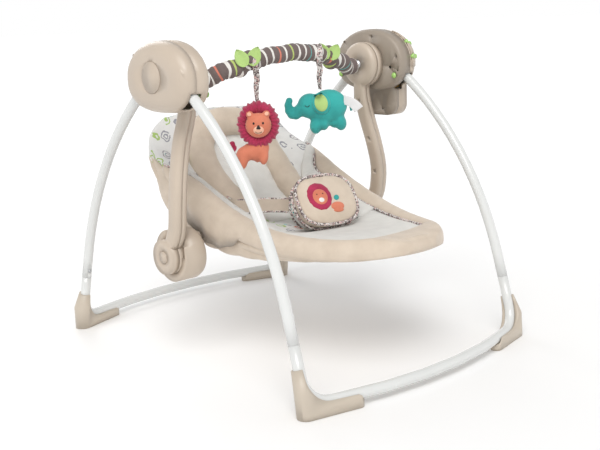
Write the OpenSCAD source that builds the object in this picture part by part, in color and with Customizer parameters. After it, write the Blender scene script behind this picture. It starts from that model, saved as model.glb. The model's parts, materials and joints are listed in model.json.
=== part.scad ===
// Portable baby swing. Millimetres, +Z up, origin on the floor under the swing axis.
// The seat faces -Y. The left housing (-X) idles, the right housing (+X) holds the drive.

/* [Stand] */
// Height of the swing axis above the floor
axis_z = 513; // [500:1:525]
// Distance of each base corner in front of and behind the swing axis
foot_y = 340; // [330:1:350]
// Half the distance between the two sides, at the floor
foot_x = 270.5; // [269:0.5:272]
// How far the bow of each cross bar would reach past the corners if it were a sharp point
bow_y = 80; // [70:1:90]
// Outside diameter of the stand's tubes
tube_d = 19; // [18:0.5:19.5]
// Lean of the lower legs from vertical, in degrees
leg_low_angle = 15.4; // [14:0.2:17]
// Lean of the legs where they enter the housings, in degrees
leg_top_angle = 54.5; // [53:0.5:56]
// How far each leg pair folds towards the middle, in degrees
fold_angle = 20; // [15:1:20]

/* [Housings] */
// Half the front to back size of a housing
pod_ry = 92; // [90:1:94]
// Height of a housing above its centre
pod_top = 66; // [64:1:68]
// Depth of a housing below its centre
pod_bottom = 57; // [55:1:59]
// Half the thickness of a housing
pod_half = 28.5; // [28:0.5:30]
// Wall of the moulded housings
pod_wall = 2.5; // [2:0.5:3]

/* [Swing] */
// Diameter of the upper arm disc
disc_d = 88; // [84:1:92]
// Width of an arm, front to back
arm_w = 29; // [26:1:30]
// Diameter of the lower recline hub
hub_d = 96; // [90:1:100]
// Distance of the recline hub behind the swing axis
hub_y = 30; // [28:1:32]
// Height of the recline hub's centre
hub_z = 198; // [196:1:202]

/* [Seat] */
// Half the widest width of the seat
seat_w = 188; // [184:1:190]
// Thickness of the seat's padding
pad_t = 20; // [16:1:22]

/* [Toys] */
// Diameter of the toy bar's fabric sleeve
sleeve_d = 30; // [26:1:31]
// Diameter of the lion's mane
mane_d = 84; // [78:1:86]
// How far the toys turn from straight ahead, in degrees
toy_turn = 40; // [30:5:50]

/* [Hidden] */

$fn = 48;
gap = 0.3;         // clearance between parts that move past each other
running = 0.05;    // radial clearance of a shaft in its hole
up = [0, 0, 1];

// Stand
tube_r = tube_d / 2;
tube_wall = 1.2;
base_z = 20;                     // height of the cross bars' centres
pod_x = 263.5;                   // middle of a housing's thickness
pod_z = 516;                     // height of a housing's centre
pivot_y = 30;                    // leg pivots, in front of and behind the swing axis
pivot_z = 523;
pivot_r = 4;
leg_arc_r = 632;
corner_r = 45;
bow_r = 760;
seam_z = 112;                    // where the upper legs meet the base tubes
snap_z = 128;
snap_r = 3.2;
snap_travel = 3;
spigot_r = tube_r - tube_wall - 0.1;
spigot_l = 34;
foot_top_z = 77;
foot_reach = 92;
leg_start = 17;                  // distance from the pivot to the leg tube's end
lock_dist = 55;                  // distance from the pivot to the release button
knuckle_r = 15;
knuckle_half = 8.8;

// Housings
pod_in = pod_x - pod_half;       // inner face
pod_out = pod_x + pod_half;      // outer face
edge_out = 34;                   // how far the outer edge's rounding reaches in
edge_in = 8;
lobe_in = 253;                   // inner face of the battery lobe
lobe_half = 59;
lobe_bottom = 408;
lobe_r = 24;
ring_steps = 32;
badge_r = 27;
shaft_r = 6;
bush_r = 9;
screw_r = 2.2;
release_r = 3.4;
release_dome = 6.4;
release_travel = 2.5;
button_travel = 1.5;

// Drive
gear_y = 0;
gear_z = 548;
gear_r = 13;
worm_r = 3.3;
cell_d = 26.2;
cell_l = 50;

// Swing
disc_in = 205;                   // inner face of the upper disc
disc_out = pod_in - 0.8;         // outer face of the upper disc
disc_seam = 220;
arm_t = 26;                      // thickness of an arm
arm_seam_gap = 0.05;
hub_in = 205;
hub_out = 254;
hub_pocket = 244;                // floor of the recess that takes the arm's end
arm_end_r = 32;
arm_end_in = hub_pocket + 0.4;
arm_end_seam = 257.2;
arm_end_out = 271.2;
recline_r = 8;                   // radius of the recline spindle

// Seat
frame_r = 8;
rim_in = 0.84;                   // share of the half width where the raised border begins

function unit(v) = v / norm(v);
function cat(a, b) = [for (i = a) i, for (i = b) i];
function flip(p) = [-p.x, p.y, p.z];

// ---------- tubes ----------
function turn_at(p, i) = acos(unit(p[i] - p[i - 1]) * unit(p[i + 1] - p[i]));
function setback(p, r, i) = (i == 0 || i == len(p) - 1) ? 0 : r[i] * tan(turn_at(p, i) / 2);

module tube_profile(ro, ri) {
  difference() {
    circle(r = ro);
    if (ri > 0) circle(r = ri);
  }
}

module aim(from, to) {
  d = to - from;
  translate(from) rotate([0, acos(d.z / norm(d)), atan2(d.y, d.x)]) children();
}

module straight(from, to, ro, ri = 0) {
  aim(from, to) linear_extrude(norm(to - from)) tube_profile(ro, ri);
}

// Points along a path of corners, with each rounded corner cut into steps
function path_points(p, r, step) = [for (i = [0 : len(p) - 1]) each
  (i == 0 || i == len(p) - 1) ? [p[i]] : bend_points(p, i, r[i], setback(p, r, i), step)];
function bend_points(p, i, r, back, step) =
  let (u = unit(p[i] - p[i - 1]), w = unit(p[i + 1] - p[i]), inward = unit(w - u * (u * w)),
       n = max(2, ceil(turn_at(p, i) / step)), c = p[i] - u * back + inward * r)
  [for (k = [0 : n]) c - inward * r * cos(turn_at(p, i) * k / n) + u * r * sin(turn_at(p, i) * k / n)];

// ---------- solids lofted through closed rings of points ----------
// When paired, each ring is an upper row and a lower row of points, and the ends are strips between them.
module loft(rings, paired = false) {
  n = len(rings[0]);
  m = len(rings);
  points = [for (ring = rings) for (p = ring) p];
  sides = [for (i = [0 : m - 2]) for (j = [0 : n - 1]) each [
    [i * n + j, i * n + (j + 1) % n, (i + 1) * n + (j + 1) % n],
    [i * n + j, (i + 1) * n + (j + 1) % n, (i + 1) * n + j]]];
  e = (m - 1) * n;
  flat_ends = [[for (j = [n - 1 : -1 : 0]) j], [for (j = [0 : n - 1]) e + j]];
  strip_ends = [for (j = [0 : n / 2 - 2]) each [
    [n - 1 - j, j + 1, j], [n - 1 - j, n - 2 - j, j + 1],
    [e + j, e + j + 1, e + n - 1 - j], [e + j + 1, e + n - 2 - j, e + n - 1 - j]]];
  polyhedron(points, cat(sides, paired ? strip_ends : flat_ends), convexity = 6);
}

// Round sections along a row of points. side is a direction that the row never runs along.
function round_rings(q, r, side, n) = [for (k = [0 : len(q) - 1])
  let (d = unit(knot(q, k + 1) - knot(q, k - 1)), a = unit(cross(side, d)), b = cross(d, a))
  [for (j = [0 : n - 1]) q[k] + r * (a * cos(j * 360 / n) - b * sin(j * 360 / n))]];

module round_bar(q, r, side, n = 16) {
  loft(round_rings(q, r, side, n));
}

// A hollow tube along a row of points
module pipe(q, ro, ri, side, n = 16) {
  m = len(q);
  rings = cat(round_rings(q, ro, side, n), round_rings(q, ri, side, n));
  wall = [for (half = [0, 1]) for (i = [0 : m - 2]) for (j = [0 : n - 1])
    let (a = half * m * n + i * n + j, b = half * m * n + i * n + (j + 1) % n)
    half == 0 ? [a, b, b + n, a + n] : [a, a + n, b + n, b]];
  ends = [for (j = [0 : n - 1]) let (k = (j + 1) % n, e = (m - 1) * n, f = m * n)
    each [[j, j + f, k + f, k], [e + j, e + k, e + k + f, e + j + f]]];
  polyhedron([for (ring = rings) for (p = ring) p], cat(wall, ends), convexity = 8);
}

// Smooth curve through hand-chosen knots, by Catmull and Rom's rule
function knot(k, i) = k[max(0, min(len(k) - 1, i))];
function smooth(k, t) =
  let (i = min(len(k) - 2, floor(t)), f = t - i, a = knot(k, i - 1), b = knot(k, i),
       c = knot(k, i + 1), d = knot(k, i + 2))
  0.5 * (2 * b + (c - a) * f + (2 * a - 5 * b + 4 * c - d) * f * f
         + (3 * b - a - 3 * c + d) * f * f * f);

// ---------- stand ----------
low_t = tan(leg_low_angle);
top_t = tan(leg_top_angle);
bend_z = (pivot_y + pivot_z * top_t - foot_y - base_z * low_t) / (top_t - low_t);
function leg_y(z) = foot_y - (z - base_z) * low_t;
function leg_x(z) = foot_x - (z - base_z) * (foot_x - pod_x) / (pivot_z - base_z);
function leg_point(z) = [leg_x(z), leg_y(z), z];
pivot = [pod_x, pivot_y, pivot_z];
bend_point = leg_point(bend_z);
leg_dir = unit(bend_point - pivot);

// One rear leg on the right; the others are mirror images of it
module upper_leg() {
  difference() {
    pipe(path_points([leg_point(seam_z), bend_point, pivot + leg_dir * leg_start], [0, leg_arc_r, 0], 3),
         tube_r, tube_r - tube_wall, [1, 0, 0]);
    snap_hole();
  }
}

module at_snap() {
  translate(leg_point(snap_z)) rotate([90 + leg_low_angle, 0, 0]) children();
}

module snap_hole() {
  at_snap() cylinder(h = tube_d, r = snap_r + gap);
}

module snap_button() {
  at_snap() translate([0, 0, tube_r - tube_wall - 2]) {
    cylinder(h = tube_wall + 2.4, r = snap_r);
    translate([0, 0, tube_wall + 2.4]) cylinder(h = 1.2, r1 = snap_r, r2 = snap_r - 1.4);
  }
}

function base_corner() = leg_point(base_z);
function base_path() = [leg_point(seam_z - 0.05), base_corner(), [0, foot_y + bow_y, base_z],
                        flip(base_corner()), flip(leg_point(seam_z - 0.05))];

// The swaged end that plugs into an upper leg
module spigot() {
  difference() {
    straight(leg_point(seam_z - 8), leg_point(seam_z + spigot_l), spigot_r, spigot_r - tube_wall);
    at_snap() cylinder(h = tube_d, r = snap_r + gap);
  }
}

module base_tube() {
  pipe(path_points(base_path(), [0, corner_r, bow_r, corner_r, 0], 8), tube_r, spigot_r - 0.6, [0, 1, 0]);
  for (side = [0, 1]) mirror([side, 0, 0]) spigot();
}

// A foot is a moulded shoe that wraps the outside of a corner and leaves the inside open
along_bar = unit([0, foot_y + bow_y, base_z] - base_corner());
up_leg = unit(leg_point(foot_top_z) - base_corner());
shoe_side = unit(cross(along_bar, up_leg));
shoe_up = cross(shoe_side, along_bar);
corner_angle = acos(along_bar * up_leg);

// Draws in the plane of a corner: x runs along the cross bar and y up the leg
module corner_plane() {
  c = base_corner();
  multmatrix([[along_bar.x, shoe_up.x, shoe_side.x, c.x], [along_bar.y, shoe_up.y, shoe_side.y, c.y],
              [along_bar.z, shoe_up.z, shoe_side.z, c.z], [0, 0, 0, 1]]) children();
}

module foot_shoe() {
  shoe_r = tube_r + 3.2;
  difference() {
    hull() {
      translate(base_corner() + up_leg * 22 + [4, 4, 0]) sphere(r = shoe_r + 2, $fn = 24);
      translate([base_corner().x + 1, base_corner().y + 1, 0]) cylinder(h = 9, r = shoe_r + 3, $fn = 24);
      translate(base_corner() + up_leg * (foot_top_z - base_z)) rotate([leg_low_angle, 0, 0])
        cylinder(h = 1, r = shoe_r, center = true, $fn = 24);
      translate(base_corner() + along_bar * foot_reach - up * base_z) cylinder(h = base_z, r = tube_r + 1, $fn = 24);
    }
    round_bar(path_points([leg_point(160), base_corner(), base_corner() + along_bar * 200], [0, corner_r, 0], 8),
              tube_r + 0.35, [0, 1, 0]);
    corner_plane() translate([0, 0, -40]) linear_extrude(80) {
      translate([corner_r / tan(corner_angle / 2), corner_r]) circle(r = corner_r - 1);
      translate([corner_r / tan(corner_angle / 2), 1]) square([200, 150]);
      rotate(corner_angle) translate([corner_r / tan(corner_angle / 2), -151]) square([200, 150]);
    }
  }
}

module leg_knuckle() {
  difference() {
    union() {
      translate(pivot - [knuckle_half, 0, 0]) rotate([0, 90, 0])
        cylinder(h = 2 * knuckle_half, r = knuckle_r);
      straight(pivot + leg_dir * 8, pivot + leg_dir * (leg_start + 18), spigot_r);
      straight(pivot + leg_dir * 8, pivot + leg_dir * (leg_start - 0.1), tube_r - 0.4);
    }
    translate(pivot - [20, 0, 0]) rotate([0, 90, 0]) cylinder(h = 40, r = pivot_r + running);
  }
}

module pair(front) {
  mirror([0, front, 0]) for (side = [0, 1]) mirror([side, 0, 0]) children();
}

// ---------- housings ----------
// Outline of a housing: a rounder top half and a flatter bottom half
function power(c, e) = sign(c) * pow(abs(c), e);
function pod_ring(x, inset) = [for (i = [0 : ring_steps - 1]) pod_point(x, inset, i * 360 / ring_steps)];
function pod_point(x, inset, a) =
  let (e = sin(a) >= 0 ? 2 / 2.1 : 2 / 2.6, h = sin(a) >= 0 ? pod_top : pod_bottom)
  [x, -(pod_ry - inset) * power(cos(a), e), pod_z + (h - inset) * power(sin(a), e)];

// Rounding of the outer edge: t runs from 0 at the middle seam to 90 at the outer face
function out_x(t, w) = pod_x + (pod_half - w) * power(sin(t), 0.8);
function out_inset(t, w) = w + edge_out * (1 - power(cos(t), 0.8));
out_steps = [0, 16, 32, 48, 64, 78, 90];

module outer_shell_body() {
  n = len(out_steps) - 1;
  inside = [for (k = [n : -1 : 0]) pod_ring(out_x(out_steps[k], pod_wall), out_inset(out_steps[k], pod_wall))];
  outside = [for (k = [0 : n]) pod_ring(out_x(out_steps[k], 0), out_inset(out_steps[k], 0))];
  loft(cat(inside, outside));
}

module inner_shell_body() {
  loft([
    pod_ring(pod_in, edge_in), pod_ring(pod_in + 1.2, 4), pod_ring(pod_in + 4, 1.4),
    pod_ring(pod_in + 9, 0), pod_ring(pod_x - 0.1, 0), pod_ring(pod_x - 0.1, pod_wall),
    pod_ring(pod_in + 9, pod_wall), pod_ring(pod_in + 5, pod_wall + 1.4),
    pod_ring(pod_in + pod_wall, edge_in + 1)]);
}

// The way that each leg sweeps inside a housing, from open to folded
module leg_slot(front) {
  fold_dir = leg_top_angle - fold_angle;
  width = 2 * (tube_r + 1.1);
  half = tube_r + 0.8;
  mirror([0, front, 0]) translate([pod_x - width / 2, pivot_y, pivot_z]) rotate([90, 0, 90])
    linear_extrude(width) polygon([
      [half * cos(leg_top_angle), half * sin(leg_top_angle)],
      [half * cos(leg_top_angle) + 120 * sin(leg_top_angle), half * sin(leg_top_angle) - 120 * cos(leg_top_angle)],
      [-half * cos(fold_dir) + 120 * sin(fold_dir) - 4, -half * sin(fold_dir) - 120 * cos(fold_dir)],
      [-half * cos(fold_dir), -half * sin(fold_dir)]]);
}

// Housing screws: y, z and the length of the outer shell's boss
housing_screw_at = [[-12, 567, 23], [66, 556, 17], [-78, 528, 22]];
module at_housing_screws() {
  for (p = housing_screw_at) translate([0, p.x, p.y]) children();
}

module x_cylinder(x0, x1, r, y, z) {
  translate([x0, y, z]) rotate([0, 90, 0]) cylinder(h = x1 - x0, r = r);
}

module housing_outer() {
  difference() {
    union() {
      outer_shell_body();
      for (s = [-1, 1]) x_cylinder(pod_x + knuckle_half + gap, pod_out - 1, 7, s * pivot_y, pivot_z);
      for (p = housing_screw_at) x_cylinder(pod_x + 0.1, pod_x + 0.1 + p[2], 4, p.x, p.y);
    }
    for (s = [-1, 1]) x_cylinder(pod_x, pod_out - 4, pivot_r, s * pivot_y, pivot_z);
    at_housing_screws() translate([pod_x, 0, 0]) rotate([0, 90, 0]) cylinder(h = 11, r = screw_r);
    for (front = [0, 1]) leg_slot(front);
  }
}

module housing_inner() {
  difference() {
    union() {
      inner_shell_body();
      x_cylinder(pod_in + 1, pod_in + 9, bush_r + 3, 0, axis_z);
      for (s = [-1, 1]) x_cylinder(pod_in + 1, pod_x - knuckle_half - gap, 7, s * pivot_y, pivot_z);
      at_housing_screws() translate([pod_in + 1, 0, 0]) rotate([0, 90, 0]) cylinder(h = pod_half - 1.1, r = 4);
    }
    x_cylinder(pod_in - 1, pod_in + 12, bush_r, 0, axis_z);
    for (s = [-1, 1]) x_cylinder(pod_in + 3, pod_x, pivot_r, s * pivot_y, pivot_z);
    for (s = [-1, 1]) release_hole(s);
    for (p = [[-62, 507, 3.2], [-82, 501, 1.8]]) x_cylinder(pod_in - 1, pod_in + 6, p[2], p.x, p.y);
    at_housing_screws() translate([pod_in - 1, 0, 0]) rotate([0, 90, 0]) cylinder(h = 16, r = 3.4);
    at_housing_screws() translate([pod_in - 1, 0, 0]) rotate([0, 90, 0]) cylinder(h = 60, r = screw_r);
    for (front = [0, 1]) leg_slot(front);
  }
}

lock_point = pivot + leg_dir * lock_dist;
module release_hole(s) {
  x_cylinder(pod_in - 1, pod_x - 4, release_r + 0.1, s * lock_point.y, lock_point.z);
}

module release_knob(side, front) {
  mirror([side, 0, 0]) mirror([0, front, 0]) translate([pod_in, lock_point.y, lock_point.z]) rotate([0, 90, 0]) {
    translate([0, 0, -2.8]) cylinder(h = 16, r = release_r);
    translate([0, 0, -2.8]) rotate_extrude() intersection() {
      translate([0, 2.6]) circle(r = release_dome);
      translate([0, -5]) square([release_dome, 5]);
    }
  }
}

module left_housing_outer() {
  color("tan") mirror([1, 0, 0]) difference() {
    housing_outer();
    x_cylinder(pod_out - 0.6, pod_out + 5, badge_r + 0.15, 0, axis_z + 8);
  }
}

module left_housing_inner() {
  color("tan") mirror([1, 0, 0]) housing_inner();
}

module left_cover_disc() {
  color("tan") mirror([1, 0, 0]) x_cylinder(pod_out - 0.6, pod_out + 0.7, badge_r, 0, axis_z + 8);
}

// The battery lobe hangs below the right housing, between the two legs
module lobe_block(x0, x1, inset) {
  r = lobe_r - inset;
  top = pod_z - 44;
  half = lobe_half - inset;
  bottom = lobe_bottom + inset;
  translate([x0, 0, 0]) rotate([90, 0, 90]) linear_extrude(x1 - x0) union() {
    for (s = [-1, 1]) translate([s * (half - r), bottom + r]) circle(r = r);
    translate([-half, bottom + r]) square([2 * half, top - bottom - r]);
    translate([-half + r, bottom]) square([2 * half - 2 * r, top - bottom]);
  }
}

lobe_out = pod_out - 4;
lobe_floor = pod_z - 50;         // the lobe is open to the housing above this height
module right_housing_outer() {
  color("tan") difference() {
    union() {
      housing_outer();
      difference() {
        lobe_block(pod_x, lobe_out, 0);
        translate([0, 0, 6]) pod_cut();
      }
    }
    difference() {
      lobe_block(pod_x - 1, lobe_out - pod_wall, pod_wall);
      translate([pod_x - 2, -100, lobe_floor + 8]) cube([60, 200, 60]);
    }
    translate([lobe_out - pod_wall - 1, -44, lobe_bottom + 8]) cube([10, 88, 44]);
    for (k = button_places) at_button(k) cylinder(h = 20, r = 5.2, center = true);
    for (front = [0, 1]) leg_slot(front);
  }
}

// Fills the housing's own space, so that the lobe stops at the housing's wall
module pod_cut() {
  loft([pod_ring(pod_x - 40, pod_wall), pod_ring(pod_x + 1, pod_wall), pod_ring(out_x(40, pod_wall), out_inset(40, pod_wall)),
        pod_ring(out_x(64, pod_wall), out_inset(64, pod_wall))]);
}

module right_housing_inner() {
  color("tan") difference() {
    union() {
      housing_inner();
      difference() {
        lobe_block(lobe_in, pod_x - 0.1, 0);
        translate([0, 0, 6]) pod_cut();
      }
    }
    difference() {
      lobe_block(lobe_in + pod_wall, pod_x + 1, pod_wall);
      translate([lobe_in - 2, -100, lobe_floor + 8]) cube([60, 200, 60]);
    }
    for (front = [0, 1]) leg_slot(front);
    x_cylinder(lobe_in - 1, lobe_in + 5, screw_r, -23, lobe_bottom + 13);
  }
}

module battery_door() {
  color("tan") translate([lobe_out - pod_wall + 0.1, -43.8, lobe_bottom + 8.2]) {
    cube([pod_wall - 0.1, 87.6, 43.6]);
    translate([pod_wall - 0.2, 34, 34]) cube([1, 20, 4]);
  }
}

module batteries() {
  color("gold") for (row = [0, 1]) for (s = [-1, 1])
    translate([272, s * (cell_l / 2 + 0.6), lobe_bottom + 9 + cell_d / 2 + row * (cell_d + 0.8)]) rotate([90, 0, 0]) {
      cylinder(h = cell_l - 2, r = cell_d / 2, center = true);
      translate([0, 0, s * (cell_l / 2 - 0.6)]) cylinder(h = 1.2, r = 3, center = true);
    }
}

module battery_contacts() {
  color("silver") for (s = [-1, 1])
    translate([272, s * (cell_l + 2.4), lobe_bottom + 23 + cell_d / 2]) cube([12, 0.8, 40], center = true);
}

// ---------- control panel and drive ----------
panel_t0 = 4;                    // the panel wraps from near the seam to the outer face
panel_a0 = -6;
panel_a1 = 66;
button_places = [[9, 12], [36, 12], [9, 46], [36, 46]];

function panel_grid(t, a, lift) =
  let (p = pod_point(out_x(t, 0), out_inset(t, 0), a),
       n = unit([0.9 * sin(t) * pod_ry / pod_half, -cos(a) * (1.05 - sin(t)), 1.3 * sin(a) * (1.05 - sin(t))]))
  p + n * lift;

panel_angles = [for (k = [0 : 8]) panel_a0 + (panel_a1 - panel_a0) * k / 8];
panel_rows = [4, 14, 27, 40, 52, 60];
module panel_skin() {
  loft([for (a = panel_angles) cat([for (t = panel_rows) panel_grid(t, a, 0.5)],
                                  [for (k = [5 : -1 : 0]) panel_grid(panel_rows[k], a, 2)])]);
}

module at_button(k) {
  p = panel_grid(k[1], k[0], 0);
  q = panel_grid(k[1], k[0], 1);
  aim(p, p + 10 * (q - p)) children();
}

module control_panel() {
  color("tan") difference() {
    panel_skin();
    for (k = button_places) at_button(k) cylinder(h = 20, r = 5.2, center = true);
  }
}

module panel_button(i) {
  color("yellowgreen") at_button(button_places[i]) {
    translate([0, 0, -5]) cylinder(h = 8, r = 5);
    translate([0, 0, 3]) cylinder(h = 0.8, r1 = 5, r2 = 4);
  }
}

module power_button() panel_button(0);
module melody_button() panel_button(1);
module timer_button() panel_button(2);
module volume_button() panel_button(3);

module circuit_board() {
  color("green") translate([pod_in + 4, -72, 522]) cube([1.6, 28, 26]);
}

module speaker() {
  color("dimgray") {
    x_cylinder(277, 284, 11, 46, 540);
    x_cylinder(273, 277, 8, 46, 540);
  }
}

worm_z = gear_z + gear_r + worm_r + running;
gear_x = pod_in + 20;
gear_w = 6;
motor_y = 13;
module along_y(y0, y1, r) {
  translate([gear_x + gear_w / 2, y1, worm_z]) rotate([90, 0, 0]) cylinder(h = y1 - y0, r = r);
}

module drive_motor() {
  color("silver") difference() {
    along_y(motor_y, motor_y + 28, 7);
    along_y(motor_y - 1, motor_y + 12, 2.2);
  }
}

module motor_worm() {
  color("goldenrod") {
    along_y(-7, motor_y - 2, worm_r);
    along_y(0, motor_y + 10, 2.2 - running);
  }
}

module drive_gear() {
  color("ivory") difference() {
    union() {
      x_cylinder(gear_x, gear_x + gear_w, gear_r, gear_y, gear_z);
      x_cylinder(gear_x - 5, gear_x, 3, gear_y, gear_z + 9);
    }
    x_cylinder(gear_x - 4, gear_x + 8, 2.5 + running, gear_y, gear_z);
  }
}

module gear_axle() {
  color("silver") x_cylinder(pod_in + pod_wall, gear_x + gear_w + 6, 2.5, gear_y, gear_z);
}

module drive_lever() {
  color("ivory") difference() {
    hull() {
      x_cylinder(pod_in + 9.6, pod_in + 12, 10, 0, axis_z);
      x_cylinder(pod_in + 9.6, pod_in + 12, 6, 4, axis_z + 24);
    }
    x_cylinder(pod_in + 5, pod_in + 15, shaft_r, 0, axis_z);
  }
}

module shaft_bushes() {
  color("whitesmoke") for (side = [0, 1]) mirror([side, 0, 0]) difference() {
    x_cylinder(pod_in - 0.2, pod_in + 9, bush_r, 0, axis_z);
    x_cylinder(pod_in - 2, pod_in + 12, shaft_r + running, 0, axis_z);
  }
}

module swing_shafts() {
  color("silver") for (side = [0, 1]) mirror([side, 0, 0])
    x_cylinder(disc_seam - 8, pod_in + 12, shaft_r, 0, axis_z);
}

module leg_pivot_pins() {
  color("silver") for (side = [0, 1]) mirror([side, 0, 0]) for (s = [-1, 1])
    x_cylinder(pod_in + 3, pod_out - 4, pivot_r, s * pivot_y, pivot_z);
}

module housing_screws() {
  color("gray") for (side = [0, 1]) mirror([side, 0, 0]) at_housing_screws() {
    translate([pod_in + 12, 0, 0]) rotate([0, 90, 0]) cylinder(h = 3, r = 3.2);
    translate([pod_in + 15, 0, 0]) rotate([0, 90, 0]) cylinder(h = 22, r = screw_r - 0.02);
  }
}

// ---------- swing arms ----------
arm_knots = [[220.5, 2, axis_z - 34], [220.5, 3, 451], [235, 4, 402], [248, -1, 352], [256.8, -5, 300],
             [257.8, 0, 252], [257.8, 14, hub_z + 26]];
arm_rings = 18;
// Half of the arm's section, flat at the seam and rounded outside
function arm_section(side) =
  let (b = arm_w / 2, h = arm_t / 2, r = 7, g = arm_seam_gap,
       half = cat([[-b, g], [-b, h - r]], cat([[-b + 0.3 * r, h - 0.3 * r], [-b + r, h]],
                  [[b - r, h], [b - 0.3 * r, h - 0.3 * r], [b, h - r], [b, g]])))
  [for (p = half) [p.x, side * p.y]];

function arm_ring(t, side) =
  let (c = smooth(arm_knots, t), e = smooth(arm_knots, min(t + 0.05, len(arm_knots) - 1)) - smooth(arm_knots, max(t - 0.05, 0)),
       d = unit(e), n = unit(cross([0, 1, 0], d)), b = cross(d, n))
  [for (p = arm_section(side)) c + b * p.x - n * p.y];

module arm_half(side) {
  rings = [for (k = [0 : arm_rings]) arm_ring(k * (len(arm_knots) - 1) / arm_rings, side)];
  loft(side > 0 ? rings : [for (k = [arm_rings : -1 : 0]) rings[k]]);
}

// A disc with its lower edge eased
module round_disc(h, r, edge) {
  rotate_extrude($fn = 72) polygon([[0, 0], [r - edge, 0], [r - 0.3 * edge, 0.3 * edge], [r, edge], [r, h], [0, h]]);
}

// A disc across the swing axis, through [x, radius] steps, in flat facets like the arm it joins
module facet_disc(steps, y, z) {
  n = 48;
  loft([for (p = steps) [for (i = [0 : n - 1]) [p.x, y - p.y * cos(i * 360 / n), z + p.y * sin(i * 360 / n)]]]);
}

module arm_outer() {
  difference() {
    union() {
      facet_disc([[disc_seam + arm_seam_gap, disc_d / 2], [disc_out, disc_d / 2]], 0, axis_z);
      arm_half(1);
      facet_disc([[arm_end_seam + arm_seam_gap, arm_end_r], [arm_end_out, arm_end_r]], hub_y, hub_z);
    }
    x_cylinder(disc_seam - 20, disc_out + 5, shaft_r, 0, axis_z);
    x_cylinder(arm_end_in + 14, arm_end_out + 5, 11.2, hub_y, hub_z);
    x_cylinder(arm_end_in, arm_end_in + 20, recline_r + running, hub_y, hub_z);
  }
}

module arm_inner() {
  difference() {
    union() {
      facet_disc([[disc_in, disc_d / 2 - 9], [disc_in + 2.7, disc_d / 2 - 2.7], [disc_in + 9, disc_d / 2],
                  [disc_seam, disc_d / 2]], 0, axis_z);
      arm_half(-1);
      facet_disc([[arm_end_in, arm_end_r], [arm_end_seam, arm_end_r]], hub_y, hub_z);
    }
    x_cylinder(disc_seam - 8, disc_out + 5, shaft_r, 0, axis_z);
    x_cylinder(disc_in - 2, disc_in + 6, 9.6, 0, axis_z);
    x_cylinder(arm_end_in - 5, arm_end_in + 20, recline_r + running, hub_y, hub_z);
    at_arm_screws() rotate([0, 90, 0]) translate([0, 0, -20]) cylinder(h = 20, r = 3);
  }
}

module at_arm_screws() {
  for (z = [440, 360, 290]) translate([z > 400 ? 224 : (z > 340 ? 246 : 256), z > 400 ? 3 : (z > 340 ? -1 : -5), z]) children();
}

module left_arm_outer() { color("tan") mirror([1, 0, 0]) arm_outer(); }
module left_arm_inner() { color("tan") mirror([1, 0, 0]) arm_inner(); }
module right_arm_outer() { color("tan") arm_outer(); }
module right_arm_inner() { color("tan") arm_inner(); }

module arm_screws() {
  color("gray") for (side = [0, 1]) mirror([side, 0, 0]) at_arm_screws() rotate([0, 90, 0])
    translate([0, 0, -9]) cylinder(h = 2, r = 2.8);
}

module recline_button() {
  x_cylinder(arm_end_in + 20, arm_end_out + 1.2, 11, hub_y, hub_z);
}

module left_recline_button() { color("tan") mirror([1, 0, 0]) recline_button(); }
module right_recline_button() { color("tan") recline_button(); }

module recline_hub() {
  translate([hub_in, hub_y, hub_z]) rotate([0, 90, 0]) difference() {
    union() {
      round_disc(hub_pocket - hub_in, hub_d / 2, 10);
      translate([0, 0, hub_pocket - hub_in]) cylinder(h = hub_out - hub_pocket, r = hub_d / 2);
      cylinder(h = arm_end_in + 18 - hub_in, r = recline_r);
    }
    translate([0, 0, hub_pocket - hub_in]) difference() {
      union() {
        cylinder(h = 20, r = arm_end_r + 1);
        translate([-100, -42, 0]) cube([100, 58, 20]);
      }
      translate([0, 0, -1]) cylinder(h = 30, r = recline_r);
    }
  }
  translate([hub_in - 12, hub_y - 14, hub_z + 8]) cube([14, 28, 22]);
}

module left_recline_hub() { color("tan") mirror([1, 0, 0]) recline_hub(); }
module right_recline_hub() { color("tan") recline_hub(); }

// ---------- seat ----------
// Stations from head to foot: middle of the seat, rim, lower edge, and half width
seat_mid = [[0, 216, 446], [0, 206, 424], [0, 184, 380], [0, 152, 322], [0, 104, 264], [0, 46, 230], [0, -24, 215],
            [0, -110, 213], [0, -195, 218], [0, -275, 227], [0, -328, 237], [0, -349, 241]];
seat_rim = [[0, 217, 447], [0, 214, 432], [0, 212, 397], [0, 186, 364], [0, 128, 338], [0, 58, 309], [0, -22, 272],
            [0, -110, 243], [0, -195, 232], [0, -275, 233], [0, -328, 240], [0, -349, 243]];
seat_low = [[0, 222, 437], [0, 221, 414], [0, 206, 352], [0, 172, 290], [0, 128, 238], [0, 60, 207], [0, -22, 194],
            [0, -110, 193], [0, -195, 199], [0, -275, 208], [0, -328, 220], [0, -352, 229]];
seat_half = [0.17, 0.62, 0.88, 0.97, 1, 1, 0.985, 0.935, 0.815, 0.63, 0.40, 0.13];
seat_rings = 26;
seat_u = 8;

function seat_t(s) = s * (len(seat_mid) - 1);
function rise(u) = pow(min(1, abs(u) / rim_in), 2.6);
function seat_top(s, u) =
  let (m = smooth(seat_mid, seat_t(s)), r = smooth(seat_rim, seat_t(s)), w = seat_w * smooth(seat_half, seat_t(s)))
  m + (r - m) * rise(u) + [w * u, 0, 0];
function seat_base(s, u) =
  let (m = smooth(seat_mid, seat_t(s)), r = smooth(seat_low, seat_t(s)), w = seat_w * smooth(seat_half, seat_t(s)),
       n = seat_normal(s))
  (m - n * pad_t) * (1 - pow(abs(u), 3)) + r * pow(abs(u), 3) + [w * u, 0, 0];
function seat_normal(s) =
  let (a = smooth(seat_mid, seat_t(max(0, s - 0.02))), b = smooth(seat_mid, seat_t(min(1, s + 0.02))), d = unit(b - a))
  [0, -abs(d.z) * (d.z < 0 ? 1 : -1), abs(d.y)];

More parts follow.
